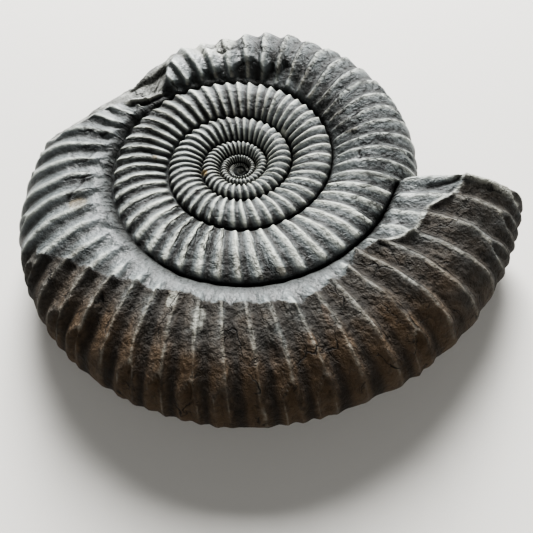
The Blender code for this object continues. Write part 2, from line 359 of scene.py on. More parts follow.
@dataclass(frozen=True)
class PhotoView:
    """The photograph's camera, placed on the coil's own axes in mm, x right, y up, z out."""

    place: tuple[float, float, float] = (14.64, -48.67, 62.54)
    right: tuple[float, float, float] = (0.9868, 0.1569, -0.0396)
    up: tuple[float, float, float] = (-0.1209, 0.8774, 0.4643)
    back: tuple[float, float, float] = (0.1076, -0.4534, 0.8848)
    focal_px: float = 460.0
    frame_px: float = 533.0
    sensor_mm: float = 36.0
    nearest_mm: float = 5.0
    mm_per_px: float = 0.168
    # Where the middle of the coil shows, from which the marks below are measured.
    coil_x_px: float = 239.2
    coil_y_px: float = 169.3

    def pixels(self, points: Array) -> Array:
        """Where points show in the photograph.

        Args:
            points: places on the coil's axes, in mm.

        Returns:
            Pixels right of and up from the middle of the coil: the offsets along the camera's
            right and up, times the focal length, over the distance in front of it.
        """
        offset = points - np.array(self.place)
        ahead = -offset @ np.array(self.back)
        x = self.frame_px / 2 + self.focal_px * (offset @ np.array(self.right)) / ahead
        y = self.frame_px / 2 - self.focal_px * (offset @ np.array(self.up)) / ahead
        return np.stack([x - self.coil_x_px, self.coil_y_px - y], -1)

    def build(self, shift: Array) -> None:
        """Makes the camera that the scene is rendered from.

        Args:
            shift: the coil's middle in the frame, in mm.
        """
        data = bpy.data.cameras.new("photo_camera")
        data.sensor_width = self.sensor_mm
        data.lens = self.focal_px / self.frame_px * self.sensor_mm
        data.clip_start = self.nearest_mm * MM
        camera = bpy.data.objects.new("photo_camera", data)
        axes = Matrix((self.right, self.up, self.back)).transposed().to_4x4()
        place = Vector((np.array(self.place) + shift) * MM)
        camera.matrix_world = Matrix.Translation(place) @ axes
        bpy.context.scene.collection.objects.link(camera)
        bpy.context.scene.camera = camera


class Relief(Enum):
    """What a line on the surface does to it."""

    CRACK = "narrow dark groove"
    WELT = "narrow raised line"


class Layer(Enum):
    """What the marks on the surface add to: its height, or a mask that the finish reads."""

    HEIGHT = "height in mm"
    CRACK = "dark line"
    ROUGH = "rough and pitted"
    FLAKY = "layers flaking off"
    BARE = "shell gone, bare matrix"
    PALE = "worn pale"
    TAN = "clay left on it"
    ORANGE = "rust"


class Side(Enum):
    """Which flank of a whorl a block of points covers."""

    UPPER = "from the upper seam to the next whorl"
    LOWER = "from the lower seam to the next whorl"
    WHOLE = "from seam to seam round the outer edge"


def line_gap(pixel: Array, marks: Marks) -> Array:
    """Distance in px from places to a line.

    Args:
        pixel: places, in px from the middle of the coil.
        marks: (degrees, px) points of the line round the middle of the coil.

    Returns:
        The least distance to any of the straight runs between the points.
    """
    corners = spot(np.array([mark[0] for mark in marks]), np.array([mark[1] for mark in marks]))
    gap = np.full(len(pixel), np.inf)
    for start, end in zip(corners[:-1], corners[1:]):
        run = end - start
        share = np.clip((pixel - start) @ run / (run @ run), 0.0, 1.0)
        gap = np.minimum(gap, np.linalg.norm(pixel - start - share[:, None] * run, axis=-1))
    return gap


@dataclass(frozen=True)
class Line:
    """A crack or welt through (degrees, px) points, with its depth and half width in mm."""

    relief: Relief
    points: Marks
    depth: float
    width: float


@dataclass(frozen=True)
class Patch:
    """A blotch: its middle in degrees and px, and its half sizes along the coil and outwards."""

    at: tuple[float, float]
    half: tuple[float, float]
    layer: Layer
    amount: float = 1.0
    height: float = 0.0
    # Its edge wanders by these lumps, and eases in over these shares of its half size.
    ragged: Lumps = Lumps(0.35, 14.0, 3)
    edge: Ramp = Ramp(1.25, 0.75)

    def mask(self, noise: Noise, pixel: Array) -> Array:
        """Share of the blotch at places.

        Args:
            noise: noise that makes its edge ragged.
            pixel: places, in px from the middle of the coil.

        Returns:
            1 inside and 0 outside, from the distance to its middle as a share of the half
            sizes. That along the coil is in degrees for layers of ZONES and in px for others.
        """
        far = self.at[1]
        outward = np.array([math.cos(math.radians(self.at[0])), math.sin(math.radians(self.at[0]))])
        offset = pixel - outward * far
        sideways = offset[:, 1] * outward[0] - offset[:, 0] * outward[1]
        half = math.radians(self.half[0]) * far if self.layer in ZONES else self.half[0]
        distance = np.hypot(sideways / half, (offset @ outward) / self.half[1])
        return self.edge.share(distance + self.ragged.over(noise, pixel))


@dataclass(frozen=True)
class Edge:
    """A ragged edge that runs round the coil through (degrees, px) points, with rising degrees."""

    points: Marks
    soft: float = 1.2
    ramp: float = 5.0

    def beyond(self, polar: Array, reach: Array) -> tuple[Array, Array]:
        """How far each place is past the edge.

        Args:
            polar: direction of each place from the middle of the coil, in degrees.
            reach: distance from there, in px.

        Returns:
            The distance past the edge in px, and a share that eases from 0 inside to 1 beyond,
            fading out past the two ends of the edge.
        """
        degrees = [point[0] for point in self.points]
        past = reach - np.interp(polar, degrees, [point[1] for point in self.points])
        ends = smoothstep(degrees[0] - self.ramp, degrees[0], polar)
        ends = ends * smoothstep(degrees[-1] + self.ramp, degrees[-1], polar)
        return past, smoothstep(-self.soft, self.soft, past) * ends


# Where the last whorl's inner lip is chipped away over the gap, at the top of the coil.
CHIPPED_LIP = Edge((
    (14, 96), (31, 100), (42, 103), (54, 104), (61, 112), (67, 119), (69, 107), (72.5, 113),
    (76, 104), (83, 110), (88, 110), (97, 94), (103, 103), (112, 102), (116, 107), (120, 102),
    (127, 109), (137, 114), (146, 118),
))
# Where the smooth inner band ends and the rough outer crust begins, round the bottom.
CRUST_EDGE = Edge((
    (203, 215), (208, 190), (215, 175), (221, 164), (227, 152), (235.5, 149), (239, 140),
    (244, 139), (249, 133), (254, 138), (262, 134), (266, 138), (274, 133), (279.5, 137),
    (287.5, 136), (292.5, 148), (298.5, 144), (304, 149), (309, 145), (314, 149), (325, 142),
    (333, 158), (339, 183), (343, 187), (349, 192), (354, 220), (358, 224),
))
# Single cracks and welts.
LINES = (
    Line(
        Relief.CRACK, ((165.2, 135), (166.2, 141), (164.8, 148), (165.8, 154), (165.0, 160)),
        0.2, 0.18,
    ),
    Line(Relief.CRACK, ((174.0, 147), (177.2, 152), (177.0, 163), (174.5, 170)), 0.12, 0.15),
    Line(Relief.CRACK, ((181.0, 150), (184.0, 156), (186.5, 162), (190.0, 174)), 0.2, 0.18),
    Line(Relief.CRACK, ((222.5, 186), (223.6, 190), (223.0, 195)), 0.5, 0.25),
    Line(Relief.CRACK, ((331.5, 160), (332.4, 168), (332.0, 175)), 0.3, 0.2),
    Line(Relief.CRACK, ((340.6, 165), (341.4, 172)), 0.3, 0.2),
    Line(
        Relief.WELT, ((333.0, 157), (337.0, 174), (340.0, 186), (343.5, 187), (348.7, 192)),
        0.35, 0.2,
    ),
    Line(Relief.WELT, ((348.7, 192), (350.5, 199), (353.0, 213), (355.8, 222)), 0.25, 0.2),
    Line(
        Relief.WELT, ((358.0, 216), (357.4, 236), (356.2, 253), (354.5, 269), (352.7, 280)),
        0.3, 0.35,
    ),
    Line(Relief.CRACK, ((354.9, 189.5), (355.8, 202), (356.6, 213), (357.5, 220)), 0.3, 0.3),
    Line(Relief.CRACK, ((4.5, 120), (6.5, 122), (8.5, 121)), 0.3, 0.2),
    # Painted shadow under the raised lower edge of the broken face: a shallow groove drawn as a dark
    # crack line, below the welt that follows.
    Line(
        Relief.CRACK, ((148.5, 125), (145.8, 117.5), (141.9, 111), (136.7, 107), (133.0, 104)),
        0.6, 0.4,
    ),
    Line(Relief.WELT, ((149.5, 130), (145.8, 121.5), (141.9, 115), (136.7, 110.5)), 0.4, 0.35),
    Line(Relief.CRACK, ((24.0, 125), (25.5, 130), (26.0, 135)), 0.4, 0.25),
    Line(Relief.CRACK, ((34.0, 119), (36.0, 122)), 0.4, 0.25),
    Line(Relief.CRACK, ((92.5, 122), (95.0, 119), (98.0, 118), (100.5, 121)), 0.25, 0.16),
    Line(Relief.CRACK, ((101.0, 127), (103.0, 124), (105.5, 126), (108.0, 123)), 0.25, 0.16),
)
# How pale a welt is.
WELT_PALE = 0.7
# Blotches where the stone is rough, flaky, bare, pale, tan or orange.
PATCHES = (
    Patch((192.0, 166.0), (6.0, 8.0), Layer.TAN, 0.3),
    Patch((185.0, 162.0), (9.0, 15.0), Layer.FLAKY, 0.5),
    Patch((168.0, 148.0), (9.0, 17.0), Layer.FLAKY, 0.45),
    Patch((176.0, 158.0), (5.0, 13.0), Layer.FLAKY, 0.35),
    # Painted shadow of the last whorl's lip on the upper flank of the whorl inside it, darkened
    # through the rough tints and the dirt and shade.
    Patch((95.0, 62.0), (48.0, 17.0), Layer.ROUGH, 0.8),
    Patch((217.0, 182.0), (16.0, 20.0), Layer.ROUGH, 0.9),
    Patch((200.0, 190.0), (8.0, 24.0), Layer.ROUGH, 0.5),
    Patch((30.0, 132.0), (40.0, 30.0), Layer.FLAKY, 0.75),
    Patch((50.0, 138.0), (24.0, 28.0), Layer.FLAKY, 0.8),
    Patch((8.0, 146.0), (26.0, 28.0), Layer.FLAKY, 0.7),
    Patch((350.0, 140.0), (26.0, 20.0), Layer.FLAKY, 0.8),
    Patch((45.0, 108.0), (34.0, 14.0), Layer.ROUGH),
    Patch((342.0, 200.0), (40.0, 30.0), Layer.FLAKY, 0.5),
    Patch((86.0, 128.0), (30.0, 10.0), Layer.FLAKY, 0.7),
    # Painted light from above on the top of the last whorl's flank, laid on as paleness.
    Patch((103.0, 128.0), (26.0, 11.0), Layer.PALE, 0.5),
    Patch((186.0, 35.0), (2.5, 2.5), Layer.TAN, 0.9),
    Patch((172.0, 85.0), (2.5, 2.5), Layer.TAN, 0.8),
    Patch((40.0, 57.0), (5.0, 4.0), Layer.PALE, 0.8),
    Patch((150.0, 92.0), (30.0, 12.0), Layer.ROUGH, 0.8),
    Patch((180.0, 105.0), (36.0, 26.0), Layer.ROUGH, 0.25),
    Patch((178.0, 104.0), (38.0, 24.0), Layer.FLAKY, 0.5),
    Patch((232.0, 76.0), (25.0, 24.0), Layer.FLAKY, 0.8),
    Patch((270.0, 88.0), (25.0, 22.0), Layer.FLAKY, 0.4),
    Patch((275.0, 84.0), (60.0, 30.0), Layer.ROUGH, 0.45),
    Patch((320.0, 92.0), (18.0, 22.0), Layer.FLAKY, 0.4),
    Patch((20.0, 62.0), (40.0, 20.0), Layer.FLAKY, 0.4),
    Patch((262.0, 95.0), (12.0, 14.0), Layer.ROUGH, 0.8),
    Patch((288.0, 110.0), (10.0, 7.0), Layer.ROUGH),
    Patch((210.0, 48.0), (6.0, 4.0), Layer.ROUGH),
    Patch((243.0, 148.0), (5.0, 7.0), Layer.PALE, 0.5),
    Patch((255.0, 158.0), (5.0, 12.0), Layer.PALE, 0.4),
    Patch((283.0, 180.0), (5.0, 14.0), Layer.ORANGE, 0.8),
    Patch((293.0, 186.0), (4.0, 9.0), Layer.ORANGE, 0.7),
    Patch((301.0, 172.0), (4.0, 14.0), Layer.ORANGE, 0.7),
    Patch((256.0, 205.0), (8.0, 6.0), Layer.ORANGE, 0.7),
    Patch((280.0, 188.0), (9.0, 10.0), Layer.BARE, 0.9, -0.25),
    Patch((266.0, 178.0), (8.0, 13.0), Layer.BARE, 0.9, -0.25),
    Patch((254.0, 178.0), (7.0, 9.0), Layer.BARE, 0.5, -0.2),
)
# Layers whose patches have their half size along the coil in degrees, and not in px.
ZONES = (Layer.ROUGH, Layer.FLAKY)
# The coordinate that runs along the coil: mm of it for one rib, for 1 mm from the seam and for
# one whorl.
FLOW_RIB = 3.0
FLOW_ACROSS = 0.5
FLOW_WHORL = 9.0
# Attributes of the mesh, each with the three masks that it holds.
MASKS = {
    "wear": ("crest", "seam", "crack"),
    "tones": ("brown", "pale", "tan"),
    "state": ("fresh", "rough", "bare"),
    "rust": ("orange", "flaky", "dirt_and_shade"),
}


@dataclass(frozen=True)
class Ribs:
    """Cross-section of the ribs, in shares of the distance from one rib to the next."""

    # How far behind its crest a rib starts to rise, and the powers that bend its two sides.
    back: float = 0.66
    back_power: float = 1.25
    front_power: float = 1.6
    # Least lengths that a fork leaves of the two sides.
    least_back: float = 0.2
    least_front: float = 0.1
    # Half width over which the crest is rounded, and how far the rounded curve is raised again.
    crest_round: float = 0.07
    crest_raise: float = 0.05
    # How far ribs wander, and how many mm of the section that takes.
    wander: float = 0.07
    wander_length: float = 3.0
    # Section angles between which a rib parts in two, the share of ribs that don't, and how far
    # the hind branch falls back: a least distance, and more of it by the rib's own draw.
    fork: Ramp = Ramp(56.0, 34.0)
    unforked: float = 0.4
    fork_apart: float = 0.38
    fork_more: float = 0.08
    # The fore branch moves ahead by this share of that, and a hollow opens as the gap widens.
    fork_ahead: float = 0.1
    fork_hollow: Ramp = Ramp(0.05, 0.35)
    least_gap: float = 1e-6
    fork_seed: int = 5
    fork_draws: int = 320
    # Dirt and painted shade in the hollows: a thin layer, and more before the steep front and at the
    # back's foot.
    dirt_and_shade_least: float = 0.25
    dirt_and_shade_more: float = 0.9
    dirt_and_shade_front: Stretch = Stretch(Ramp(-0.1, 0.15), Ramp(0.45, 0.3))
    dirt_and_shade_back: Ramp = Ramp(-0.35, -0.66)

    def profile(self, place: Array, angle: Array) -> Array:
        """Rib height from 0 in the hollows to 1 on the crests.

        Args:
            place: rib number of each point, whole on a crest.
            angle: its section angle in degrees.

        Returns:
            One minus the distance to the crest over the length of that side of the rib, raised
            to a power over 1. The side behind the crest is long, the one before it is steep.
            Past the fork the crest parts in two, and a hollow opens between.
        """
        front = 1.0 - self.back
        number = np.ceil(place - front)
        off = place - number
        draws = np.random.default_rng(self.fork_seed).uniform(0.0, 1.0, self.fork_draws)
        draw = draws[(-number).astype(int) % self.fork_draws]
        spread = np.where(draw < self.unforked, 0.0, self.fork_apart + self.fork_more * draw)
        apart = spread * self.fork.share(np.abs(angle))
        behind, before = -apart, self.fork_ahead * apart
        back = (behind - off) / np.maximum(self.back + behind, self.least_back)
        ahead = (off - before) / np.maximum(front - before, self.least_front)
        gap = np.maximum(before - behind, self.least_gap)
        inside = (0.5 - np.abs((off - behind) / gap - 0.5)) * 2.0 * self.fork_hollow.share(gap)
        distance = np.where(off < behind, back, np.where(off > before, ahead, inside))
        power = np.where(off > before, self.front_power, self.back_power)
        soft = np.sqrt(np.maximum(distance, 0.0) ** 2 + self.crest_round**2) - self.crest_raise
        return np.clip(1.0 - soft, 0.0, 1.0) ** power

    def dirt_and_shade(self, rib: Array, profile: Array) -> Array:
        """Dirt and painted shade between the ribs.

        Args:
            rib: rib number of each point.
            profile: rib height there, from 0 to 1.

        Returns:
            One minus the rib's height, times the thickness of the dirt and painted shade there.
        """
        place = rib - np.ceil(rib - (1.0 - self.back))
        thick = np.maximum(self.dirt_and_shade_front.share(place), self.dirt_and_shade_back.share(place))
        return np.clip((1.0 - profile) * (self.dirt_and_shade_least + self.dirt_and_shade_more * thick), 0.0, 1.0)


@dataclass(frozen=True)
class BrokenCorner:
    """The broken corner's slanting, scooped face, close to the solid's, in mm and degrees."""

    azimuth: float = 141.9
    distance: float = 31.6
    slope: float = 1.25
    # How far the face reaches to either side, as the least cosine with its direction.
    least_cosine: float = 0.5
    # Before this direction the face steps outwards: by step in each step_run, up to step_most.
    step_from: float = 142.0
    step_run: float = 5.5
    step: float = 2.5
    step_most: float = 1.5
    # The scoop in it, which begins at scoop_foot over the middle plane and deepens upwards.
    scoop: float = 4.0
    scoop_width: float = 16.0
    scoop_foot: float = -1.0
    scoop_rise: float = 4.0
    # Least distance of a point from the section's middle, across the face, that is divided by.
    least_depth: float = 1e-3
    chips: Lumps = Lumps(0.35, 2.6, 4)
    fine_chips: Lumps = Lumps(0.12, 0.8, 2)
    fresh: Ramp = Ramp(0.0, 0.25)
    # The hollow behind the thin rim, dished in and darkened with painted shadow: through (degrees,
    # px) points, and how it widens.
    hollow_marks: Marks = (
        (126.5, 125.5), (130.4, 124.5), (134.8, 125.5), (137.0, 128.0), (140.4, 130.5),
        (144.5, 133.5),
    )
    hollow_depth: float = 0.2
    hollow_width: float = 0.25
    hollow_wider: float = 0.4
    hollow_widens: Ramp = Ramp(144.0, 134.0)
    hollow_strength: float = 1.5
    hollow_above: Ramp = Ramp(-40.0, -20.0)

    def cut(
        self, radius: Array, height: Array, turn: Array, centre: Array, chips: Array
    ) -> tuple[Array, Array, Array]:
        """Pulls points beyond the broken corner back onto its face.

        Args:
            radius: distance of each point from the coil's axis.
            height: height over the middle plane.
            turn: growth turn.
            centre: distance of the middle of the whorl's section from the coil's axis.
            chips: small heights that roughen the face.

        Returns:
            The radius and height, drawn in towards the middle of the section until the point is
            on the face, and how far each point was past the face.
        """
        around = 2 * np.pi * turn
        direction = np.degrees(around) % 360.0
        facing = np.cos(np.radians(self.azimuth) - around)
        scoop = self.scoop * bell(direction - self.azimuth, self.scoop_width)
        scoop = scoop * np.clip((height - self.scoop_foot) / self.scoop_rise, 0.0, 1.0)
        step = np.clip((self.step_from - direction) / self.step_run, 0.0, self.step_most)
        limit = self.distance - scoop + self.step * step + chips
        past = radius * facing + self.slope * height - limit
        past = np.where((facing >= self.least_cosine) & (turn > -1.0), past, -1.0)
        whole = (radius - centre) * facing + self.slope * height
        share = past / np.where(whole > self.least_depth, whole, 1.0)
        keep = np.where(past > 0, 1.0 - share, 1.0)
        return centre + (radius - centre) * keep, height * keep, past

    def hollow(self, view: PhotoView, points: Array, polar: Array, angle: Array) -> Array:
        """Share of the hollow behind the rim.

        Args:
            view: the photograph's camera.
            points: places on the coil's axes.
            polar: direction of each, as the photograph shows the smooth coil, in degrees.
            angle: section angle of each, in degrees.

        Returns:
            A bell over the distance to the hollow's line, made stronger and cut off at 1.
        """
        width = self.hollow_width + self.hollow_wider * self.hollow_widens.share(polar)
        mark = bell(line_gap(view.pixels(points), self.hollow_marks) * view.mm_per_px, width)
        return np.clip(self.hollow_strength * mark, 0.0, 1.0) * self.hollow_above.share(angle)


@dataclass(frozen=True)
class Seams:
    """Grooves where whorls meet, the matrix left in them and the ribs that fade out beside them."""

    # Depth of the groove as a share of the height, and its width in mm.
    groove_share: float = 0.1
    groove_width: float = 0.45
    # Matrix left in the seams of each whorl inwards, as a share of the half thickness.
    fill: tuple[float, ...] = (0.16, 0.02, 0.04, 0.07, 0.08, 0.08)
    fill_width: float = 0.28
    fill_lumps: Lumps = Lumps(0.5, 1.6, 3)
    # Only the left of the last whorl's seam is filled. The inner ones have this share elsewhere.
    left: Stretch = Stretch(Ramp(130.0, 160.0), Ramp(240.0, 205.0))
    fill_elsewhere: float = 0.7
    # Distance in mm from a seam over which matrix clings, and how much nearer to the next whorl.
    matrix: Ramp = Ramp(2.4, 0.4)
    matrix_nearer: float = 1.6
    # Width in mm of the smooth strip of the last whorl: everywhere, and more where it is wide.
    strip: float = 1.3
    strip_wider: float = 4.2
    strip_wide: Stretch = Stretch(Ramp(150.0, 200.0), Ramp(325.0, 300.0))
    # Strips of the inner whorls beside their own seam and the next whorl's, in rib spacings.
    inner_strip: float = 0.4
    over_strip: float = 0.35
    ribs_begin: Ramp = Ramp(0.2, 1.0)
    ribs_end: Ramp = Ramp(0.0, 1.0)


@dataclass(frozen=True)
class Masking:
    """How the masks that the finish reads follow from the shape."""

    # How much sharper crests look in the crust, and their strength on the whorls. The pale crests are
    # worn stone and painted highlight, more of it on the inner whorls.
    crust_crest: float = 1.6
    inner_crest: float = 1.2
    last_crest: float = 0.9
    # Dark lines in the seams by the distance in mm, and what the left of the coil lacks of them.
    own_seam: Ramp = Ramp(0.6, 0.0)
    over_seam: Ramp = Ramp(0.35, 0.0)
    left_seam_less: float = 0.6
    # Painted shadow in the hollow behind the broken corner's rim.
    hollow_shadow: float = 0.9
    middle_dark: float = 0.5
    # Dirt and painted shade between the ribs of the inner whorls, of the last one and of its lower
    # part.
    inner_dirt_and_shade: float = 0.75
    last_dirt_and_shade: float = 0.6
    below_dirt_and_shade: float = 0.4
    # Dirt beside the seams of the inner whorls by the distance in mm, and in rough places, which also
    # carry the painted shadow of the last whorl's lip.
    beside_own: Ramp = Ramp(3.2, 0.6)
    beside_over: Ramp = Ramp(2.2, 0.3)
    beside_over_share: float = 0.8
    beside_dirt: float = 0.3
    rough_dirt_and_shade: float = 0.25
    # Browner by the distance in px from the middle of the coil on the lower part, and stained on the
    # crust.
    browned: Ramp = Ramp(165.0, 240.0)
    crust_stain: float = 0.35
    chipped_bare: float = 0.25


@dataclass(frozen=True)
class Site:
    """Where each point of the smooth coil is, in space and in the photograph."""

    places: Array
    pixel: Array
    polar: Array
    reach: Array
    shown: Array
    spacing: Array
    # Shares of the lower part of the last whorl, and of the left of the coil.
    below: Array
    left: Array


@dataclass(frozen=True)
class Damage:
    """Share from 0 to 1 of each kind of damage at each point."""

    chipped: Array
    crusted: Array
    lip: Array
    rough: Array
    flaky: Array


@dataclass
class ShellSurface:
    """The whole stone as flat arrays of points, each with its place on the coil and its masks."""

    spiral: Spiral
    view: PhotoView
    rib_form: Ribs = Ribs()
    corner_form: BrokenCorner = BrokenCorner()
    seams: Seams = Seams()
    masking: Masking = Masking()
    noise: Noise = field(default_factory=lambda: Noise(11))
    detail: Noise = field(default_factory=lambda: Noise(29))
    # For each whorl inwards: columns for each rib, and rows from seam to seam on each side.
    columns: tuple[int, ...] = (12, 10, 8, 8, 6, 5)
    upper_rows: tuple[int, ...] = (44, 32, 20, 12, 8, 6)
    lower_rows: tuple[int, ...] = (18, 8, 5, 4, 3, 2)
    edge_rows: int = 34
    # Section angle of the last whorl's corners, which its rows reach over this part of a turn.
    corner: float = 50.0
    corner_run: float = 0.03
    cap_rings: int = 12
    # First guesses of a seam's section angle, outer and own, and how often they are corrected.
    outer_guess: float = 55.0
    own_guess: float = 135.0
    guess_rounds: int = 4
    # Distance in mm from any seam that is given to the points of the end and the middles.
    far_away: float = 9.0
    # Height of the ribs as a share of their spacing, by turn.
    rib_relief: Marks = ((0.01, 0.22), (-0.9, 0.24), (-1.4, 0.28), (-7.0, 0.3))
    mean_relief: float = 0.4
    # What is left of it on the outer edge, less on the lower part of the coil, by section angle.
    outer_edge_relief: float = 0.38
    below_less: float = 0.15
    edge_fade: Ramp = Ramp(22.0, 48.0)
    # Uneven ribs, by rib number, and worn ones.
    uneven: float = 0.22
    uneven_ribs: float = 1.3
    worn: Lumps = Lumps(0.25, 6.0, 2)
    # Turns between which the ribs of the first whorls fade in.
    first_ribs: Ramp = Ramp(-5.6, -4.6)
    # Section angles at which the photographed side begins, and directions of the lower part.
    shown: Ramp = Ramp(-25.0, 5.0)
    below: Stretch = Stretch(Ramp(205.0, 235.0), Ramp(345.0, 300.0))
    # Lumps in px that make the crust's edge ragged, and more of them for the chipped lip.
    ragged: Lumps = Lumps(3.4, 8.0, 4, 0.65)
    jagged: Lumps = Lumps(2.6, 5.0, 3, 0.6)
    # The chipped lip: its edge in px, its directions, its depth and slope in mm, and its lumps.
    chip_edge: Ramp = Ramp(-0.6, 0.6)
    chip_stretch: Stretch = Stretch(Ramp(56.0, 74.0), Ramp(152.0, 144.0))
    chip_depth: float = 0.95
    chip_slope: Ramp = Ramp(0.0, 1.4)
    chip_lumps: float = 0.45
    chip_grains: float = 0.6
    chip_ribs_less: float = 0.8
    # The crust: its step and the width in px of its raised lip, and how much higher its ribs are.
    crust_step: float = 0.45
    crust_lip: float = 5.0
    crust_ribs: float = 0.3
    crust_flaky: float = 0.3
    # Roughness of the seams, the inner whorls and the reverse.
    matrix_rough: float = 0.9
    inner_rough: float = 0.42
    reverse_rough: float = 0.25
    # Flakes: their size and steps, what the steps rise by in mm, and where in a step they rise.
    flakes: Lumps = Lumps(0.5, 3.6, 5, 0.55)
    flake_steps: float = 3.2
    flake_height: float = 0.22
    flake_edge: Ramp = Ramp(0.7, 1.0)
    # Their coordinate by rib, by mm from the seam, by whorl and by section angle.
    flake_rib: float = 2.4
    flake_across: float = 0.8
    flake_whorl: float = 7.0
    flake_turn: float = 400.0
    # Waves and grains, which are smaller where ribs are closer than plain_spacing in mm.
    waves: Lumps = Lumps(1.0, 3.2, 3)
    grains: Lumps = Lumps(1.0, 2.3, 4)
    plain_spacing: float = 3.0
    least_size: float = 0.25
    wave_height: float = 0.07
    grain_height: float = 0.02
    rough_height: float = 0.13
    flaky_height: float = 0.03
    # The broken end: how deep it is dished, and its lumps, which fade towards its rim.
    end_hollow: float = 1.0
    end_lumps: Lumps = Lumps(0.5, 4.0, 4)
    end_rim: float = 4.0
    # The worn middle: its radius, where it eases in, its lumps, and the pit's size and depth.
    middle_reach: float = 1.9
    middle_inside: float = 0.6
    middle_lumps: Lumps = Lumps(0.2, 1.2, 3)
    pit_share: float = 0.5
    pit_depth: float = 0.9
    # One value for each point: its rib number, its turn where its rib crosses the middle of the
    # flank, its own turn, its section angle, its whorl and its distance from the seams.
    rib: Array = field(init=False)
    mid: Array = field(init=False)
    turn: Array = field(init=False)
    angle: Array = field(init=False)
    whorl: Array = field(init=False)
    own_gap: Array = field(init=False)
    over_gap: Array = field(init=False)
    # Point numbers of each block by column and row, of the middles' rings and borders, and of
    # the broken end's rim and rings, and the rows that the end lies between.
    grids: dict[tuple[int, Side], Array] = field(init=False)
    middles: list[tuple[Array, Array]] = field(init=False)
    cap_loop: Array = field(init=False)
    cap_points: Array = field(init=False)
    cap_from: int = field(init=False)
    cap_to: int = field(init=False)
    # The finished mesh, in mm, and its masks.
    points: Array = field(init=False)
    faces: Array = field(init=False)
    masks: dict[str, Array] = field(init=False)

    def __post_init__(self) -> None:
        """Lays the points, joins them and places them."""
        self._lay_points()
        self._lay_faces()
        self._shape()

    @property
    def last(self) -> Array:
        """Whether each point is on the last whorl."""
        return self.whorl == 0

    @property
    def inner(self) -> Array:
        """Whether each point is on one of the whorls inside the last."""
        return self.whorl > 0

    def _seam_angles(self, mid: Array, upper: bool, outer: bool) -> Array:
        """Section angles of a seam for columns of ribs, which lean.

        Args:
            mid: mid-flank turns of the columns.
            upper: whether the seam is on the upper flank.
            outer: whether it is the seam with the next whorl, and not with the one before.

        Returns:
            The angle at which each leaning column meets the seam, found by repeating the
            reading at the turn that the last angle leans to.
        """
        angle = np.full(mid.shape, self.outer_guess if outer else self.own_guess)
        for _ in range(self.guess_rounds):
            turn = mid + self.spiral.lean(angle)
            both = self.spiral.seam(turn + 1.0 if outer else turn, upper)
            angle = both[1] if outer else both[0]
        return angle

    def _whorl_limits(self) -> list[float]:
        """Rib numbers at which the whorls begin, from the aperture inwards.

        Returns:
            The whole number nearest to each turn. The last whorl ends at a column as near as
            can be to the place where the seam of the aperture's own column meets it.
        """
        spiral, whorls = self.spiral, len(self.columns)
        limits = [0.0]
        limits += [round(float(spiral.rib_number(np.array(-float(k))))) for k in range(1, whorls + 1)]
        end = spiral.turn_of_rib(np.zeros(1))
        end_angle = self._seam_angles(end, True, False)
        meets = spiral.seam(end + spiral.lean(end_angle), True)[1]
        start = end + spiral.lean(end_angle) - 1.0 - spiral.lean(meets)
        steps = self.columns[0]
        limits[1] = round(float(spiral.rib_number(start)[0]) * steps) / steps
        return limits

    def _lay_points(self) -> None:
        """Fills the flat arrays: rib number, mid-flank turn, section angle, whorl, seam gaps."""
        spiral, limits = self.spiral, self._whorl_limits()
        names = ("rib", "mid", "angle", "whorl", "own_gap", "over_gap")
        parts: dict[str, list[Array]] = {name: [] for name in names}
        self.grids = {}
        count = 0
        for k, steps in enumerate(self.columns):
            number = round((limits[k] - limits[k + 1]) * steps)
            ribs = limits[k + 1] + (limits[k] - limits[k + 1]) * np.arange(number + 1) / number
            ribs = ribs[:-1] if k else ribs
            mid = spiral.turn_of_rib(ribs)
            for side, (angle, own, over) in self._row_angles(k, mid).items():
                self.grids[k, side] = count + np.arange(angle.size).reshape(angle.shape)
                count += angle.size
                rows = angle.shape[1]
                parts["rib"].append(np.repeat(ribs, rows))
                parts["mid"].append(np.repeat(mid, rows))
                parts["angle"].append(angle.ravel())
                parts["whorl"].append(np.full(angle.size, k))
                parts["own_gap"].append(self._gap(mid, angle, own).ravel())
                parts["over_gap"].append(self._gap(mid, angle, over).ravel())
        for name, arrays in parts.items():
            setattr(self, name, np.concatenate(arrays))
        self.turn = self.mid + spiral.lean(self.angle)

    def _gap(self, mid: Array, angle: Array, seam: Array) -> Array:
        """Distance across the section from rows to a seam.

        Args:
            mid: mid-flank turn of each column.
            angle: section angles of its rows.
            seam: section angle of one of its seams.

        Returns:
            The straight distance in mm between the two on the smooth oval.
        """
        turn = mid[:, None] + self.spiral.lean(angle)
        seam_turn = mid[:, None] + self.spiral.lean(seam)
        radius, height = self.spiral.oval(turn, angle)
        seam_radius, seam_height = self.spiral.oval(seam_turn, seam)
        return np.hypot(radius - seam_radius, height - seam_height)

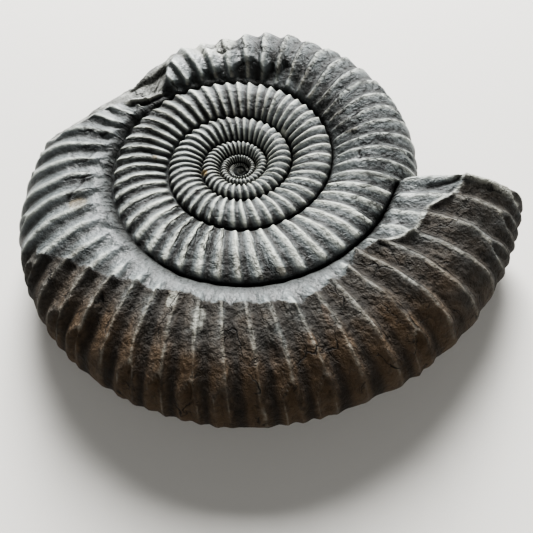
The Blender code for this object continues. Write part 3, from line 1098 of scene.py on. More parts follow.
    def _row_angles(self, k: int, mid: Array) -> dict[Side, tuple[Array, Array, Array]]:
        """Section angles of a whorl's rows.

        Args:
            k: whorl, 0 for the last one.
            mid: mid-flank turns of its columns.

        Returns:
            For the last whorl one block round the outer edge, and for the others one block a
            side that stops a row short of the next whorl's seam, so that faces can join them.
            Each block has the angles of its rows, of its own seam and of the next whorl's.
        """
        top, bottom = (self._seam_angles(mid, upper, False)[:, None] for upper in (True, False))
        over, under = (self._seam_angles(mid, upper, True)[:, None] for upper in (True, False))
        up = np.linspace(0.0, 1.0, self.upper_rows[k] + 1)[None, :]
        down = np.linspace(0.0, 1.0, self.lower_rows[k] + 1)[None, :]
        if k:
            upper = top + (over - top) * up[:, :-1]
            lower = bottom + (under - bottom) * down[:, :-1]
            return {Side.UPPER: (upper, top, over), Side.LOWER: (-lower, -bottom, -under)}
        moved = smoothstep(0.0, 1.0, (mid - mid[0]) / self.corner_run)[:, None]
        high = over[0, 0] + (self.corner - over[0, 0]) * moved
        low = under[0, 0] + (self.corner - under[0, 0]) * moved
        upper = top + (high - top) * up
        edge_share = np.linspace(0.0, 1.0, self.edge_rows + 1)[None, 1:]
        edge = high - (high + low) * edge_share
        lower = -low - (bottom - low) * down[:, 1:]
        self.cap_from = self.upper_rows[0]
        self.cap_to = self.upper_rows[0] + self.edge_rows
        angle = np.concatenate([upper, edge, lower], axis=1)
        own = np.where(angle >= 0, top, -bottom)
        return {Side.WHOLE: (angle, own, np.full_like(angle, 0.0))}

    @staticmethod
    def _grid_faces(index: Array) -> Array:
        """Two triangles for each cell of a grid of point numbers."""
        a, b, c, d = index[:-1, :-1], index[1:, :-1], index[1:, 1:], index[:-1, 1:]
        first = np.stack([a, b, c], -1).reshape(-1, 3)
        return np.concatenate([first, np.stack([a, c, d], -1).reshape(-1, 3)])

    @staticmethod
    def _zip_faces(left: Array, right: Array, left_at: Array, right_at: Array) -> Array:
        """Triangles between two runs of points.

        Args:
            left: point numbers of one run.
            right: point numbers of the other.
            left_at: rising parameter of the left run.
            right_at: rising parameter of the right run.

        Returns:
            One triangle for each step along either run, taken in the order of the parameters:
            the step's two points and the point that the other run has reached.
        """
        at = np.concatenate([left_at[1:], right_at[1:]])
        is_left = np.arange(at.size) < left.size - 1
        is_left = is_left[np.argsort(at, kind="stable")]
        i = np.concatenate([[0], np.cumsum(is_left)])[:-1]
        j = np.concatenate([[0], np.cumsum(~is_left)])[:-1]
        next_left = left[np.minimum(i + 1, left.size - 1)]
        next_right = right[np.minimum(j + 1, right.size - 1)]
        return np.stack([left[i], np.where(is_left, next_left, next_right), right[j]], -1)

    def _lay_faces(self) -> None:
        """Joins the grids: along each whorl, whorl to whorl, seam to seam, end and middle."""
        last = self.grids[0, Side.WHOLE]
        last[0, self.cap_from] = last[-1, 0]
        last[0, self.cap_to] = last[-1, -1]
        faces = [self._grid_faces(last)]
        inner_up = last[:, : self.cap_from]
        inner_low = last[:, : self.cap_to : -1]
        self.middles = []
        flanks = ((Side.UPPER, inner_up, last[:, 0]), (Side.LOWER, inner_low, last[:, -1]))
        for side, outer, seam in flanks:
            border, seams = [outer[:1, -1]], [seam]
            for k in range(1, len(self.columns)):
                index = self.grids[k, side]
                share = np.linspace(0.0, 1.0, outer.shape[1])
                own = np.linspace(0.0, 1.0, index.shape[1])
                faces.append(self._grid_faces(index))
                faces.append(self._zip_faces(index[-1], outer[0], own, share))
                border.insert(0, index[:, -1])
                seams.insert(0, index[:, 0])
                outer = index
            line, seam_line = np.concatenate(border), np.concatenate(seams)
            line_at, seam_at = self.turn[line], self.turn[seam_line]
            covered = int(np.searchsorted(seam_at, line_at[0] + 1.0))
            joined = seam_line[covered:]
            faces.append(self._zip_faces(line, joined, line_at, seam_at[covered:] - 1.0))
            loop = np.concatenate([seam_line[: covered + 1], outer[0, :0:-1]])
            self._close_middle(faces, loop)
        self._close_end(faces, last)
        self.faces = np.concatenate(faces)

    def _add_points(self, number: int) -> Array:
        """Makes room for more points that are placed later.

        Args:
            number: how many.

        Returns:
            Their numbers.
        """
        start = self.angle.size
        for name in ("rib", "mid", "angle", "turn"):
            setattr(self, name, np.concatenate([getattr(self, name), np.zeros(number)]))
        for name in ("own_gap", "over_gap"):
            gaps = np.full(number, self.far_away)
            setattr(self, name, np.concatenate([getattr(self, name), gaps]))
        self.whorl = np.concatenate([self.whorl, np.full(number, -1)])
        return start + np.arange(number)

    def _close_middle(self, faces: list[Array], loop: Array) -> None:
        """Closes the middle of a flank: a ring inside the first turn's seam, and a pit.

        Args:
            faces: the mesh's triangles, which more are added to.
            loop: numbers of the points round the middle.
        """
        inside = self._add_points(loop.size + 1)
        grid = np.stack([loop, inside[:-1]])
        faces.append(self._grid_faces(np.concatenate([grid, grid[:, :1]], axis=1)))
        pit = np.full(loop.size, inside[-1])
        faces.append(np.stack([inside[:-1], np.roll(inside[:-1], -1), pit], -1))
        self.middles.append((inside, loop))

    def _close_end(self, faces: list[Array], last: Array) -> None:
        """Lays rings of points over the broken aperture end, from its rim to its middle.

        Args:
            faces: the mesh's triangles, which more are added to.
            last: point numbers of the last whorl, by column and row.
        """
        loop = np.concatenate([last[-1], last[0, self.cap_to - 1 : self.cap_from : -1]])
        rings = self._add_points(loop.size * self.cap_rings + 1)
        grid = np.concatenate([loop[None, :], rings[:-1].reshape(self.cap_rings, loop.size)])
        closed = np.concatenate([grid, grid[:, :1]], axis=1)
        faces.append(self._grid_faces(closed))
        middle = np.full(loop.size, rings[-1])
        faces.append(np.stack([closed[-1, :-1], middle, closed[-1, 1:]], -1))
        self.cap_loop, self.cap_points = loop, rings

    def _site(self, places: Array) -> Site:
        """Where each point is.

        Args:
            places: places on the smooth coil, in mm.

        Returns:
            The places, where the photograph shows them and in which parts of the coil they are.
        """
        pixel = self.view.pixels(places)
        polar = np.degrees(np.arctan2(pixel[:, 1], pixel[:, 0])) % 360.0
        return Site(
            places, pixel, polar,
            reach=np.hypot(pixel[:, 0], pixel[:, 1]),
            shown=self.shown.share(self.angle),
            spacing=self.spiral.rib_spacing(self.mid),
            below=self.below.share(polar) * self.last,
            left=self.seams.left.share(polar),
        )

    def _rib_profile(self) -> Array:
        """Rib height from 0 to 1, of ribs that wander a little along the section."""
        at = np.stack([self.rib, self.own_gap / self.rib_form.wander_length, 0 * self.rib], -1)
        wander = self.rib_form.wander * self.noise.smooth(at, 1.0)
        return self.rib_form.profile(self.rib + wander * (self.whorl >= 0), self.angle)

    def _seam_fade(self, site: Site) -> Array:
        """What is left of the ribs beside the seams.

        Args:
            site: where each point is.

        Returns:
            A share that eases in over the smooth strip beside a whorl's own seam and, on the
            inner whorls, over another one beside the next whorl's.
        """
        seams = self.seams
        last = seams.strip + seams.strip_wider * seams.strip_wide.share(site.polar) * site.shown
        strip = np.where(self.last, last, seams.inner_strip * site.spacing)
        over = seams.ribs_end.share(self.over_gap / (seams.over_strip * site.spacing))
        return seams.ribs_begin.share(self.own_gap / strip) * np.where(self.inner, over, 1.0)

    def _rib_rise(self, site: Site, profile: Array, seam_fade: Array) -> Array:
        """Height of the ribs over the smooth coil, in mm.

        Args:
            site: where each point is.
            profile: rib height from 0 to 1.
            seam_fade: what is left of the ribs beside the seams.

        Returns:
            The profile less its mean, times a share of the rib spacing, with uneven and worn
            ribs and lower ones on the outer edge and in the first whorls.
        """
        left_over = self.outer_edge_relief * (1.0 - self.below_less * site.below)
        edge_fade = left_over + (1.0 - left_over) * self.edge_fade.share(np.abs(self.angle))
        along = np.stack([self.rib, 0 * self.rib, 0 * self.rib], -1)
        uneven = 1.0 + self.uneven * self.noise.smooth(along, self.uneven_ribs)
        worn = 1.0 - np.maximum(self.worn.over(self.noise, site.places), 0.0)
        relief = self.spiral.through(self.rib_relief, np.minimum(self.mid, self.rib_relief[0][0]))
        strength = relief * site.spacing
        ribs = strength * seam_fade * edge_fade * uneven * worn * (profile - self.mean_relief)
        return ribs * self.first_ribs.share(self.mid)

    def _damage(self, site: Site, marks: dict[Layer, Array]) -> Damage:
        """Where the coil is chipped, crusted, rough and flaky.

        Args:
            site: where each point is.
            marks: the layers of the marks.

        Returns:
            The share of each kind of damage.
        """
        ragged = site.reach + self.ragged.over(self.noise, site.pixel)
        jagged = ragged + self.jagged.over(self.detail, site.pixel)
        chip_past, _ = CHIPPED_LIP.beyond(site.polar, jagged)
        chipped = (1.0 - self.chip_edge.share(chip_past)) * self.chip_stretch.share(site.polar)
        chipped = chipped * site.shown * self.last
        crust_past, crusted = CRUST_EDGE.beyond(site.polar, ragged)
        crusted = crusted * self.last
        over_gap = self.over_gap * self.seams.matrix_nearer
        matrix = self.matrix_rough * self.seams.matrix.share(np.minimum(self.own_gap, over_gap))
        layers = [marks[Layer.ROUGH], crusted, chipped, matrix, self.inner_rough * self.inner]
        rough = np.clip(np.maximum.reduce(layers), 0.0, 1.0)
        return Damage(
            chipped, crusted,
            lip=bell(crust_past, self.crust_lip) * crusted * site.shown,
            rough=np.clip(rough + self.reverse_rough * (self.angle < 0), 0.0, 1.0),
            flaky=np.clip(np.maximum(marks[Layer.FLAKY], self.crust_flaky * crusted), 0.0, 1.0),
        )

    def _rise(self, site: Site, ribs: Array, damage: Damage) -> Array:
        """Height over the smooth coil of all but the traced marks, in mm.

        Args:
            site: where each point is.
            ribs: height of the ribs.
            damage: shares of each kind of damage.

        Returns:
            The ribs, higher in the crust and lower in the chips, with grains, waves, flakes,
            the crust's lip and the chips added.
        """
        waves = self.waves.over(self.noise, site.places)
        grains = self.grains.over(self.detail, site.places)
        chipped, rough, flaky = damage.chipped, damage.rough, damage.flaky
        size = np.clip(site.spacing / self.plain_spacing, self.least_size, 1.0)
        grainy = self.grain_height + self.rough_height * rough + self.flaky_height * flaky
        rise = ribs * (1.0 + self.crust_ribs * damage.crusted)
        rise = rise * (1.0 - self.chip_ribs_less * chipped)
        rise += size * grainy * grains + self.wave_height * size * waves
        rise += size * self.flake_height * flaky * (self._flakes() - 0.5)
        rise += self.crust_step * damage.lip
        rise -= self.chip_depth * chipped * self.chip_slope.share(self.own_gap)
        rise += self.chip_lumps * chipped * (waves + self.chip_grains * grains)
        return rise

    def _fill_seams(self, site: Site, height: Array, half: Array) -> Array:
        """Cuts the grooves of the seams, and fills them again where matrix is left.

        Args:
            site: where each point is.
            height: height over the middle plane.
            half: half height of the whorl's section.

        Returns:
            The new height over the middle plane.
        """
        seams = self.seams
        own = bell(self.own_gap, seams.groove_width)
        groove = np.maximum(own, bell(self.over_gap, seams.groove_width) * self.inner)
        near = np.minimum(self.own_gap, np.where(self.inner, self.over_gap, self.far_away))
        shares = np.array(seams.fill)[np.clip(self.whorl, 0, None)]
        inner_share = seams.fill_elsewhere + (1.0 - seams.fill_elsewhere) * site.left
        shares = shares * np.where(self.last, site.left, inner_share)
        lumps = 1.0 + seams.fill_lumps.over(self.detail, site.places)
        filled = shares * bell(near, seams.fill_width * half) * lumps * (self.whorl >= 0)
        return height * (1.0 - seams.groove_share * groove + filled)

    def _shape(self) -> None:
        """Places every point and works out the masks that the finish reads."""
        spiral, corner = self.spiral, self.corner_form
        radius, height = spiral.oval(self.turn, self.angle)
        centre, half, thick = spiral.section(self.turn, self.angle >= 0)
        out = np.cos(np.radians(self.angle)) / half
        up = np.sin(np.radians(self.angle)) / thick
        length = np.hypot(out, up)

        site = self._site(spiral.place(radius, self.turn, height))
        profile = self._rib_profile()
        seam_fade = self._seam_fade(site)
        marks = self._marks(site)
        damage = self._damage(site, marks)
        ribs = self._rib_rise(site, profile, seam_fade)
        rise = self._rise(site, ribs, damage) + marks[Layer.HEIGHT]
        radius = radius + rise * out / length
        height = self._fill_seams(site, height + rise * up / length, half)

        chips = corner.chips.over(self.noise, site.places)
        chips += corner.fine_chips.over(self.detail, site.places)
        radius, height, past = corner.cut(radius, height, self.turn, centre, chips)
        fresh = corner.fresh.share(past)
        broken = spiral.place(radius, self.turn, height)
        hollow = fresh * corner.hollow(self.view, broken, site.polar, self.angle)
        points = spiral.place(radius - corner.hollow_depth * hollow, self.turn, height)
        self._shape_end(points)
        self._shape_middles(points)
        self.points = points + spiral.shift()
        self.points[:, 2] = np.maximum(self.points[:, 2], 0.0)

        bare = np.maximum(marks[Layer.BARE], self.masking.chipped_bare * damage.chipped)
        crest = self._crest(profile, damage) * seam_fade * (1.0 - fresh)
        # Darker between the ribs, most before the steep front: dirt and painted shade.
        between = seam_fade * self.rib_form.dirt_and_shade(self.rib, profile) * (1.0 - fresh)
        dirt_and_shade = self._dirt_and_shade(site, marks, between)
        # Browner towards the lower outer edge of the last whorl.
        brown = site.below * self.masking.browned.share(site.reach)
        brown = np.clip(brown + self.masking.crust_stain * damage.crusted, 0.0, 1.0)
        flow = (self.rib * FLOW_RIB, self.own_gap * FLOW_ACROSS, self.whorl * FLOW_WHORL)
        self.masks = {
            "wear": np.stack([crest, self._seam_mask(site, hollow), marks[Layer.CRACK]], -1),
            "tones": np.stack([brown, marks[Layer.PALE], marks[Layer.TAN]], -1),
            "state": np.stack([fresh, self._rough_mask(damage, fresh), bare], -1),
            "rust": np.stack([marks[Layer.ORANGE], damage.flaky, dirt_and_shade], -1),
            "flow": np.stack(flow, -1) * MM,
        }

    def _crest(self, profile: Array, damage: Damage) -> Array:
        """Strength of the pale crests on whole ribs, worn stone and painted highlight, from rib
        heights and the crust.
        """
        strength = np.where(self.inner, self.masking.inner_crest, self.masking.last_crest)
        return profile ** (1.0 + self.masking.crust_crest * damage.crusted) * strength

    def _seam_mask(self, site: Site, hollow: Array) -> Array:
        """Dark lines in the seams, and painted shadow in the hollow behind the broken corner's rim.

        Args:
            site: where each point is.
            hollow: share of the hollow behind the broken corner's rim.

        Returns:
            A mask from 0 to 1, with less on the left of the coil.
        """
        masking = self.masking
        over = masking.over_seam.share(self.over_gap) * self.inner
        seam = np.maximum(masking.own_seam.share(self.own_gap), over)
        seam = seam * (1.0 - masking.left_seam_less * site.left)
        seam = np.maximum(seam, masking.hollow_shadow * hollow)
        for inside, _ in self.middles:
            seam[inside] = masking.middle_dark
            seam[inside[-1]] = 1.0
        return seam

    def _rough_mask(self, damage: Damage, fresh: Array) -> Array:
        """Roughness from 0 to 1: that of the damage, and all of the broken faces and middles."""
        broken = np.zeros(len(self.points))
        broken[self.cap_points] = 1.0
        for inside, _ in self.middles:
            broken[inside] = 1.0
        return np.maximum.reduce([damage.rough, broken, fresh])

    def _dirt_and_shade(self, site: Site, marks: dict[Layer, Array], between: Array) -> Array:
        """Dirt and painted shade on the coil.

        Args:
            site: where each point is.
            marks: the layers of the marks.
            between: dirt and painted shade between the ribs.

        Returns:
            That dirt and painted shade by whorl, and more beside the seams and in rough places of
            inner whorls.
        """
        masking = self.masking
        over = masking.beside_over_share * masking.beside_over.share(self.over_gap)
        beside = np.maximum(masking.beside_own.share(self.own_gap), over)
        last = masking.last_dirt_and_shade + masking.below_dirt_and_shade * site.below
        more = masking.beside_dirt * beside + masking.rough_dirt_and_shade * marks[Layer.ROUGH]
        return between * np.where(self.inner, masking.inner_dirt_and_shade, last) + more * self.inner

    def _marks(self, site: Site) -> dict[Layer, Array]:
        """Cracks, welts and blotches, from their places in the photograph.

        Args:
            site: where each point is.

        Returns:
            Height in mm that they add, and a mask from 0 to 1 for each other layer.
        """
        masks = {layer: np.zeros(len(site.pixel)) for layer in Layer}
        for line in LINES:
            gap = line_gap(site.pixel, line.points) * self.view.mm_per_px
            mark = bell(gap, line.width) * site.shown
            if line.relief is Relief.WELT:
                masks[Layer.HEIGHT] += line.depth * mark
                masks[Layer.PALE] = np.maximum(masks[Layer.PALE], WELT_PALE * mark)
            else:
                masks[Layer.HEIGHT] -= line.depth * mark
                masks[Layer.CRACK] = np.maximum(masks[Layer.CRACK], mark)
        for patch in PATCHES:
            mask = patch.mask(self.noise, site.pixel) * site.shown * patch.amount
            masks[patch.layer] = np.maximum(masks[patch.layer], mask)
            masks[Layer.HEIGHT] += patch.height * mask
        return masks

    def _flakes(self) -> Array:
        """Thin layers of shell.

        Returns:
            Height from 0 to 1: noise drawn out along the ribs, in level steps with soft edges.
        """
        depth = self.whorl * self.flake_whorl + self.angle / self.flake_turn
        across = self.own_gap * self.flake_across
        place = np.stack([self.rib * self.flake_rib, across, depth], -1)
        level = (0.5 + self.flakes.over(self.noise, place)) * self.flake_steps
        whole = np.floor(level)
        return np.clip((whole + self.flake_edge.share(level - whole)) / self.flake_steps, 0.0, 1.0)

    def _shape_end(self, points: Array) -> None:
        """Places the rings over the aperture end, shrinking to its middle, dished and rough.

        Args:
            points: places of all points on the coil's axes, which the rings are set in.
        """
        loop = points[self.cap_loop]
        centre = self.spiral.section(np.zeros(1), np.ones(1, bool))[0][0]
        middle = np.array([centre, 0.0, 0.0])
        share = (np.arange(1, self.cap_rings + 1) / (self.cap_rings + 1))[:, None, None]
        rings = (loop[None] * (1 - share) + middle * share).reshape(-1, 3)
        depth = np.repeat(1.0 - (1.0 - share.ravel()) ** 2, len(loop))
        rough = self.end_lumps.over(self.noise, rings)
        rings[:, 1] -= self.end_hollow * depth + rough * np.minimum(depth * self.end_rim, 1.0)
        points[self.cap_points[:-1]] = rings
        points[self.cap_points[-1]] = middle - np.array([0.0, self.end_hollow, 0.0])

    def _shape_middles(self, points: Array) -> None:
        """Levels the worn first turns of each flank, and sinks a small pit in the middle.

        Args:
            points: places of all points on the coil's axes, which are changed.
        """
        far = np.hypot(points[:, 0], points[:, 1])
        worn = Ramp(self.middle_reach, self.middle_inside * self.middle_reach)
        near = worn.share(far) * self.inner
        lumps = self.middle_lumps.over(self.noise, points)
        for inside, loop in self.middles:
            level = points[loop, 2].mean()
            side = near * (points[:, 2] * level > 0)
            points[:, 2] += side * (level + lumps - points[:, 2])
            middle = points[loop].mean(axis=0)
            points[inside[:-1]] = middle + self.pit_share * (points[loop] - middle)
            points[inside[-1]] = middle - np.array([0.0, 0.0, math.copysign(self.pit_depth, level)])

    def build(self, name: str) -> bpy.types.Object:
        """Makes the piece.

        Args:
            name: name of the new object.

        Returns:
            The object, one closed mesh in metres with its masks as point attributes.
        """
        used = np.unique(self.faces)
        renumber = np.zeros(len(self.points), int)
        renumber[used] = np.arange(used.size)
        faces = renumber[self.faces]
        mesh = bpy.data.meshes.new(name)
        mesh.from_pydata((self.points[used] * MM).tolist(), [], faces.tolist())
        self._face_outwards(mesh)
        for mask, values in self.masks.items():
            layer = mesh.attributes.new(mask, "FLOAT_VECTOR", "POINT")
            layer.data.foreach_set("vector", values[used].astype(np.float32).ravel())
        mesh.shade_smooth()
        piece = bpy.data.objects.new(name, mesh)
        bpy.context.scene.collection.objects.link(piece)
        LOG.info("%s: %d points, %d triangles", name, used.size, len(faces))
        return piece

    @staticmethod
    def _face_outwards(mesh: bpy.types.Mesh) -> None:
        """Turns every face of the closed mesh outwards.

        Args:
            mesh: the mesh, which is changed.
        """
        work = bmesh.new()
        work.from_mesh(mesh)
        bmesh.ops.recalc_face_normals(work, faces=work.faces[:])
        work.to_mesh(mesh)
        work.free()


def linear(colour: str) -> tuple[float, float, float, float]:
    """Linear colour, as shaders take it.

    Args:
        colour: sRGB hex value such as #8a8d90.

    Returns:
        Its red, green and blue by the sRGB curve's two pieces, and an alpha of 1.
    """
    shares = [int(colour[i : i + 2], 16) / 255.0 for i in (1, 3, 5)]
    values = [s / 12.92 if s <= 0.04045 else ((s + 0.055) / 1.055) ** 2.4 for s in shares]
    return values[0], values[1], values[2], 1.0


Settings = dict[str | int, object]
Sockets = dict[str | int, bpy.types.NodeSocket]


def add(
    tree: bpy.types.NodeTree, kind: str, settings: Settings, links: Sockets
) -> bpy.types.Node:
    """Adds a node.

    Args:
        tree: node tree that it goes in.
        kind: its Blender type.
        settings: its properties and the values of its inputs, by name or number.
        links: the outputs that its inputs are linked from, by name or number.

    Returns:
        The new node.
    """
    node = tree.nodes.new(kind)
    for name, value in settings.items():
        if isinstance(name, str) and hasattr(node, name):
            setattr(node, name, value)
        else:
            node.inputs[name].default_value = value
    for name, output in links.items():
        tree.links.new(output, node.inputs[name])
    return node


class Join(Enum):
    """How two values make one: the operation of a math node."""

    PRODUCT = "MULTIPLY"
    SUM = "MULTIPLY_ADD"
    LARGER = "MAXIMUM"


class Place(Enum):
    """The coordinate that a texture lies on."""

    OBJECT = "object"
    FLOW = "flow"


@dataclass(frozen=True)
class Texture:
    """Noise from 0 to 1 whose coarsest lumps are size mm across, on one of two coordinates."""

    name: str
    size: float
    detail: float
    place: Place = Place.OBJECT


@dataclass(frozen=True)
class Blend:
    """A value made of two others. Of a sum, the first is multiplied by factor."""

    name: str
    join: Join
    first: str
    second: str
    factor: float = 1.0


@dataclass(frozen=True)
class Tint:
    """A colour laid over those before it, as a value goes from low to high."""

    value: str
    low: float
    high: float
    most: float
    colour: str


@dataclass(frozen=True)
class ShellStone:
    """Pyritic limestone that has replaced the shell, cleaned by hand and left unpolished.

    It gives a dark slate-grey with a dull natural sheen: paler and smoother on worn crests,
    which also carry painted highlight, nearly black and matt in the hollows and seams, partly
    dirt and partly painted shade, browner on its lower outer edge and stained on the crust.
    Thin layers of it flake off along the ribs, and hairline cracks run over it.
    """

    # Darkest colour, which the rib hollows keep away from the crests: the stone's dark tone and
    # painted shade.
    hollow: str = "#303130"
    textures: tuple[Texture, ...] = (
        Texture("grain", 0.5, 6.0),
        Texture("pits", 1.1, 4.0),
        Texture("lumps", 1.8, 5.0),
        Texture("blotch", 5.0, 5.0),
        Texture("flakes", 2.6, 6.0, Place.FLOW),
        Texture("panels", 4.0, 3.0, Place.FLOW),
        Texture("striae", 0.8, 3.0, Place.FLOW),
    )
    blends: tuple[Blend, ...] = (
        Blend("streaks", Join.SUM, "striae", "grain", 0.7),
        Blend("mottle", Join.SUM, "blotch", "streaks", 0.5),
        Blend("shade", Join.SUM, "mottle", "crest", 0.7),
        Blend("lit", Join.SUM, "pits", "crest", 0.5),
        Blend("browned", Join.PRODUCT, "blotch", "brown"),
        Blend("rough_pits", Join.PRODUCT, "pits", "rough"),
        Blend("rough_panels", Join.PRODUCT, "panels", "rough"),
        Blend("rusted", Join.PRODUCT, "blotch", "orange"),
        Blend("dirt_and_shade_fill", Join.SUM, "pits", "dirt_and_shade", 0.5),
        Blend("worn_crest", Join.PRODUCT, "crest", "rough"),
        Blend("worn", Join.PRODUCT, "worn_crest", "lumps"),
        Blend("flake_edge", Join.PRODUCT, "flake_line", "flaky"),
        Blend("aged", Join.LARGER, "rough", "flaky"),
        Blend("net_shown", Join.PRODUCT, "net", "aged"),
        Blend("ledge_shown", Join.PRODUCT, "ledge", "flaky"),
        Blend("cracked", Join.LARGER, "net_shown", "ledge_shown"),
        Blend("fractured", Join.PRODUCT, "fresh", "lumps"),
    )
    tints: tuple[Tint, ...] = (
        # The crest share in shade and lit is painted highlight on the crests, which leaves the
        # hollows darker.
        Tint("shade", 0.55, 1.6, 1.0, "#747a7a"),
        Tint("lit", 0.78, 1.4, 0.85, "#bdbfb4"),
        Tint("rough_pits", 0.28, 0.62, 0.65, "#2c2c29"),
        Tint("rough_panels", 0.42, 0.62, 0.45, "#26231f"),
        Tint("rusted", 0.25, 0.7, 0.6, "#7a5636"),
        Tint("bare", 0.0, 1.0, 0.9, "#2a2826"),
        Tint("browned", 0.08, 0.45, 0.8, "#594630"),
        # Near black in the rib hollows: dirt and painted shade.
        Tint("dirt_and_shade_fill", 0.5, 1.3, 0.85, "#1d1a16"),
        Tint("worn", 0.32, 0.52, 0.55, "#98958a"),
        Tint("pale", 0.0, 1.0, 1.0, "#b4b5ab"),
        Tint("tan", 0.0, 1.0, 1.0, "#8d7a55"),
        Tint("fresh", 0.0, 1.0, 0.85, "#777874"),
        Tint("fractured", 0.45, 0.6, 0.6, "#a7a8a2"),
        # Dark seams, and the painted shadow in the hollow behind the broken corner's rim.
        Tint("seam", 0.0, 1.0, 1.0, "#100f0d"),
        Tint("crack", 0.0, 1.0, 1.0, "#100f0d"),
        Tint("flake_edge", 0.1, 0.6, 0.55, "#100f0d"),
        Tint("cracked", 0.0, 0.6, 0.7, "#100f0d"),
    )
    texture_roughness: float = 0.6
    # The net of cracks: the size of its cells, and how far and in what sizes they are bent, in
    # mm, the width of the lines as a share of a cell, and the blotches that show them.
    crack_cells: float = 3.4
    crack_bend: float = 2.2
    bend_size: float = 2.0
    bend_detail: float = 4.0
    crack_line: float = 0.03
    cracked_blotches: Ramp = Ramp(0.5, 0.64)
    # Cracks along the crests: their place as a share of a rib, their soft edge, and how far
    # they stray.
    ledge_place: float = 0.34
    ledge_edge: Ramp = Ramp(0.09, 0.02)
    ledge_bend: float = 0.5
    # Flaked layers: their number and thickness in mm, the rise of each from one level to the
    # next, and the dark line before it, all as shares of a layer.
    flake_layers: float = 7.0
    flake_thickness: float = 0.35
    flake_rise: Ramp = Ramp(0.75, 1.0)
    flake_line: Stretch = Stretch(Ramp(0.5, 0.66), Ramp(1.0, 0.78))
    # Height of the grains in mm, the parts of the fine relief against them, and the least
    # share of it, which is on fresh plain stone.
    grain_height: float = 0.3
    relief: tuple[tuple[str, float], ...] = (
        ("striae", 1.2), ("pits", 1.6), ("lumps", 2.6), ("cracked", -1.5),
    )
    least_relief: float = 0.45
    # Roughness of the shine, from worn and plain to grainy and aged stone.
    grain_dulls: float = 0.4
    dullest: float = 1.2
    roughness: Ramp = Ramp(0.36, 0.8)
    # Strength of the shine, which the seams lose before their mask is full.
    reflection: float = 0.5
    seam_matt: float = 0.8

    def build(self) -> bpy.types.Material:
        """Makes the material.

        Returns:
            The material, which reads the mesh's masks and gives colour, roughness and relief.
        """
        material = bpy.data.materials.new("shell_stone")
        material.use_nodes = True
        tree = material.node_tree
        shader = tree.nodes["Principled BSDF"]
        values = self._read_masks(tree)
        self._add_cracks(tree, values)
        terrace = self._add_flakes(tree, values)
        for blend in self.blends:
            settings = {"operation": blend.join.value}
            links = {0: values[blend.first]}
            if blend.join is Join.SUM:
                settings[1] = blend.factor
                links[2] = values[blend.second]
            else:
                links[1] = values[blend.second]
            values[blend.name] = add(tree, "ShaderNodeMath", settings, links).outputs[0]
        tree.links.new(self._lay_tints(tree, values), shader.inputs["Base Color"])
        dull = add(
            tree, "ShaderNodeMath", {"operation": "MULTIPLY_ADD", 1: self.grain_dulls},
            {0: values["grain"], 2: values["aged"]},
        )
        settings = {2: self.dullest, 3: self.roughness.none, 4: self.roughness.full}
        dull = add(tree, "ShaderNodeMapRange", settings, {0: dull.outputs[0]})
        tree.links.new(dull.outputs[0], shader.inputs["Roughness"])
        settings = {2: self.seam_matt, 3: self.reflection, 4: 0.0}
        sheen = add(tree, "ShaderNodeMapRange", settings, {0: values["seam"]})
        tree.links.new(sheen.outputs[0], shader.inputs["Specular IOR Level"])
        tree.links.new(self._add_relief(tree, values, terrace), shader.inputs["Normal"])
        return material

    def _read_masks(self, tree: bpy.types.NodeTree) -> Sockets:
        """Reads the masks from the mesh and adds the noises.

        Args:
            tree: node tree of the material.

        Returns:
            The output of each mask and each texture, by name.
        """
        values: Sockets = {}
        for name, parts in MASKS.items():
            layer = add(tree, "ShaderNodeAttribute", {"attribute_name": name}, {})
            split = add(tree, "ShaderNodeSeparateXYZ", {}, {0: layer.outputs["Vector"]})
            values.update(zip(parts, split.outputs))
        flow = add(tree, "ShaderNodeAttribute", {"attribute_name": "flow"}, {})
        values["flow"] = flow.outputs["Vector"]
        values["object"] = add(tree, "ShaderNodeTexCoord", {}, {}).outputs["Object"]
        for texture in self.textures:
            settings = {
                "Scale": 1.0 / (texture.size * MM), "Detail": texture.detail,
                "Roughness": self.texture_roughness,
            }
            noise = add(tree, "ShaderNodeTexNoise", settings, {"Vector": values[texture.place.value]})
            values[texture.name] = noise.outputs["Fac"]
        return values

    def _add_cracks(self, tree: bpy.types.NodeTree, values: Sockets) -> None:
        """Adds hairline cracks: the borders of bent cells, which only some blotches show.

        Args:
            tree: node tree of the material.
            values: sockets by name. The cracks are added to it as "net".
        """
        settings = {"Scale": 1.0 / (self.bend_size * MM), "Detail": self.bend_detail}
        bend = add(tree, "ShaderNodeTexNoise", settings, {"Vector": values["object"]})
        shift = add(
            tree, "ShaderNodeVectorMath", {"operation": "SCALE", "Scale": self.crack_bend * MM},
            {0: bend.outputs["Color"]},
        )
        moved = add(
            tree, "ShaderNodeVectorMath", {"operation": "ADD"},
            {0: values["flow"], 1: shift.outputs[0]},
        )
        cells = add(
            tree, "ShaderNodeTexVoronoi",
            {"feature": "DISTANCE_TO_EDGE", "Scale": 1.0 / (self.crack_cells * MM)},
            {"Vector": moved.outputs[0]},
        )
        settings = {2: self.crack_line, 3: 1.0, 4: 0.0}
        line = add(tree, "ShaderNodeMapRange", settings, {0: cells.outputs["Distance"]})
        settings = {1: self.cracked_blotches.none, 2: self.cracked_blotches.full}
        some = add(tree, "ShaderNodeMapRange", settings, {0: values["blotch"]})
        links = {0: line.outputs[0], 1: some.outputs[0]}
        values["net"] = add(tree, "ShaderNodeMath", {"operation": "MULTIPLY"}, links).outputs[0]
        self._add_ledges(tree, values, bend.outputs["Fac"])

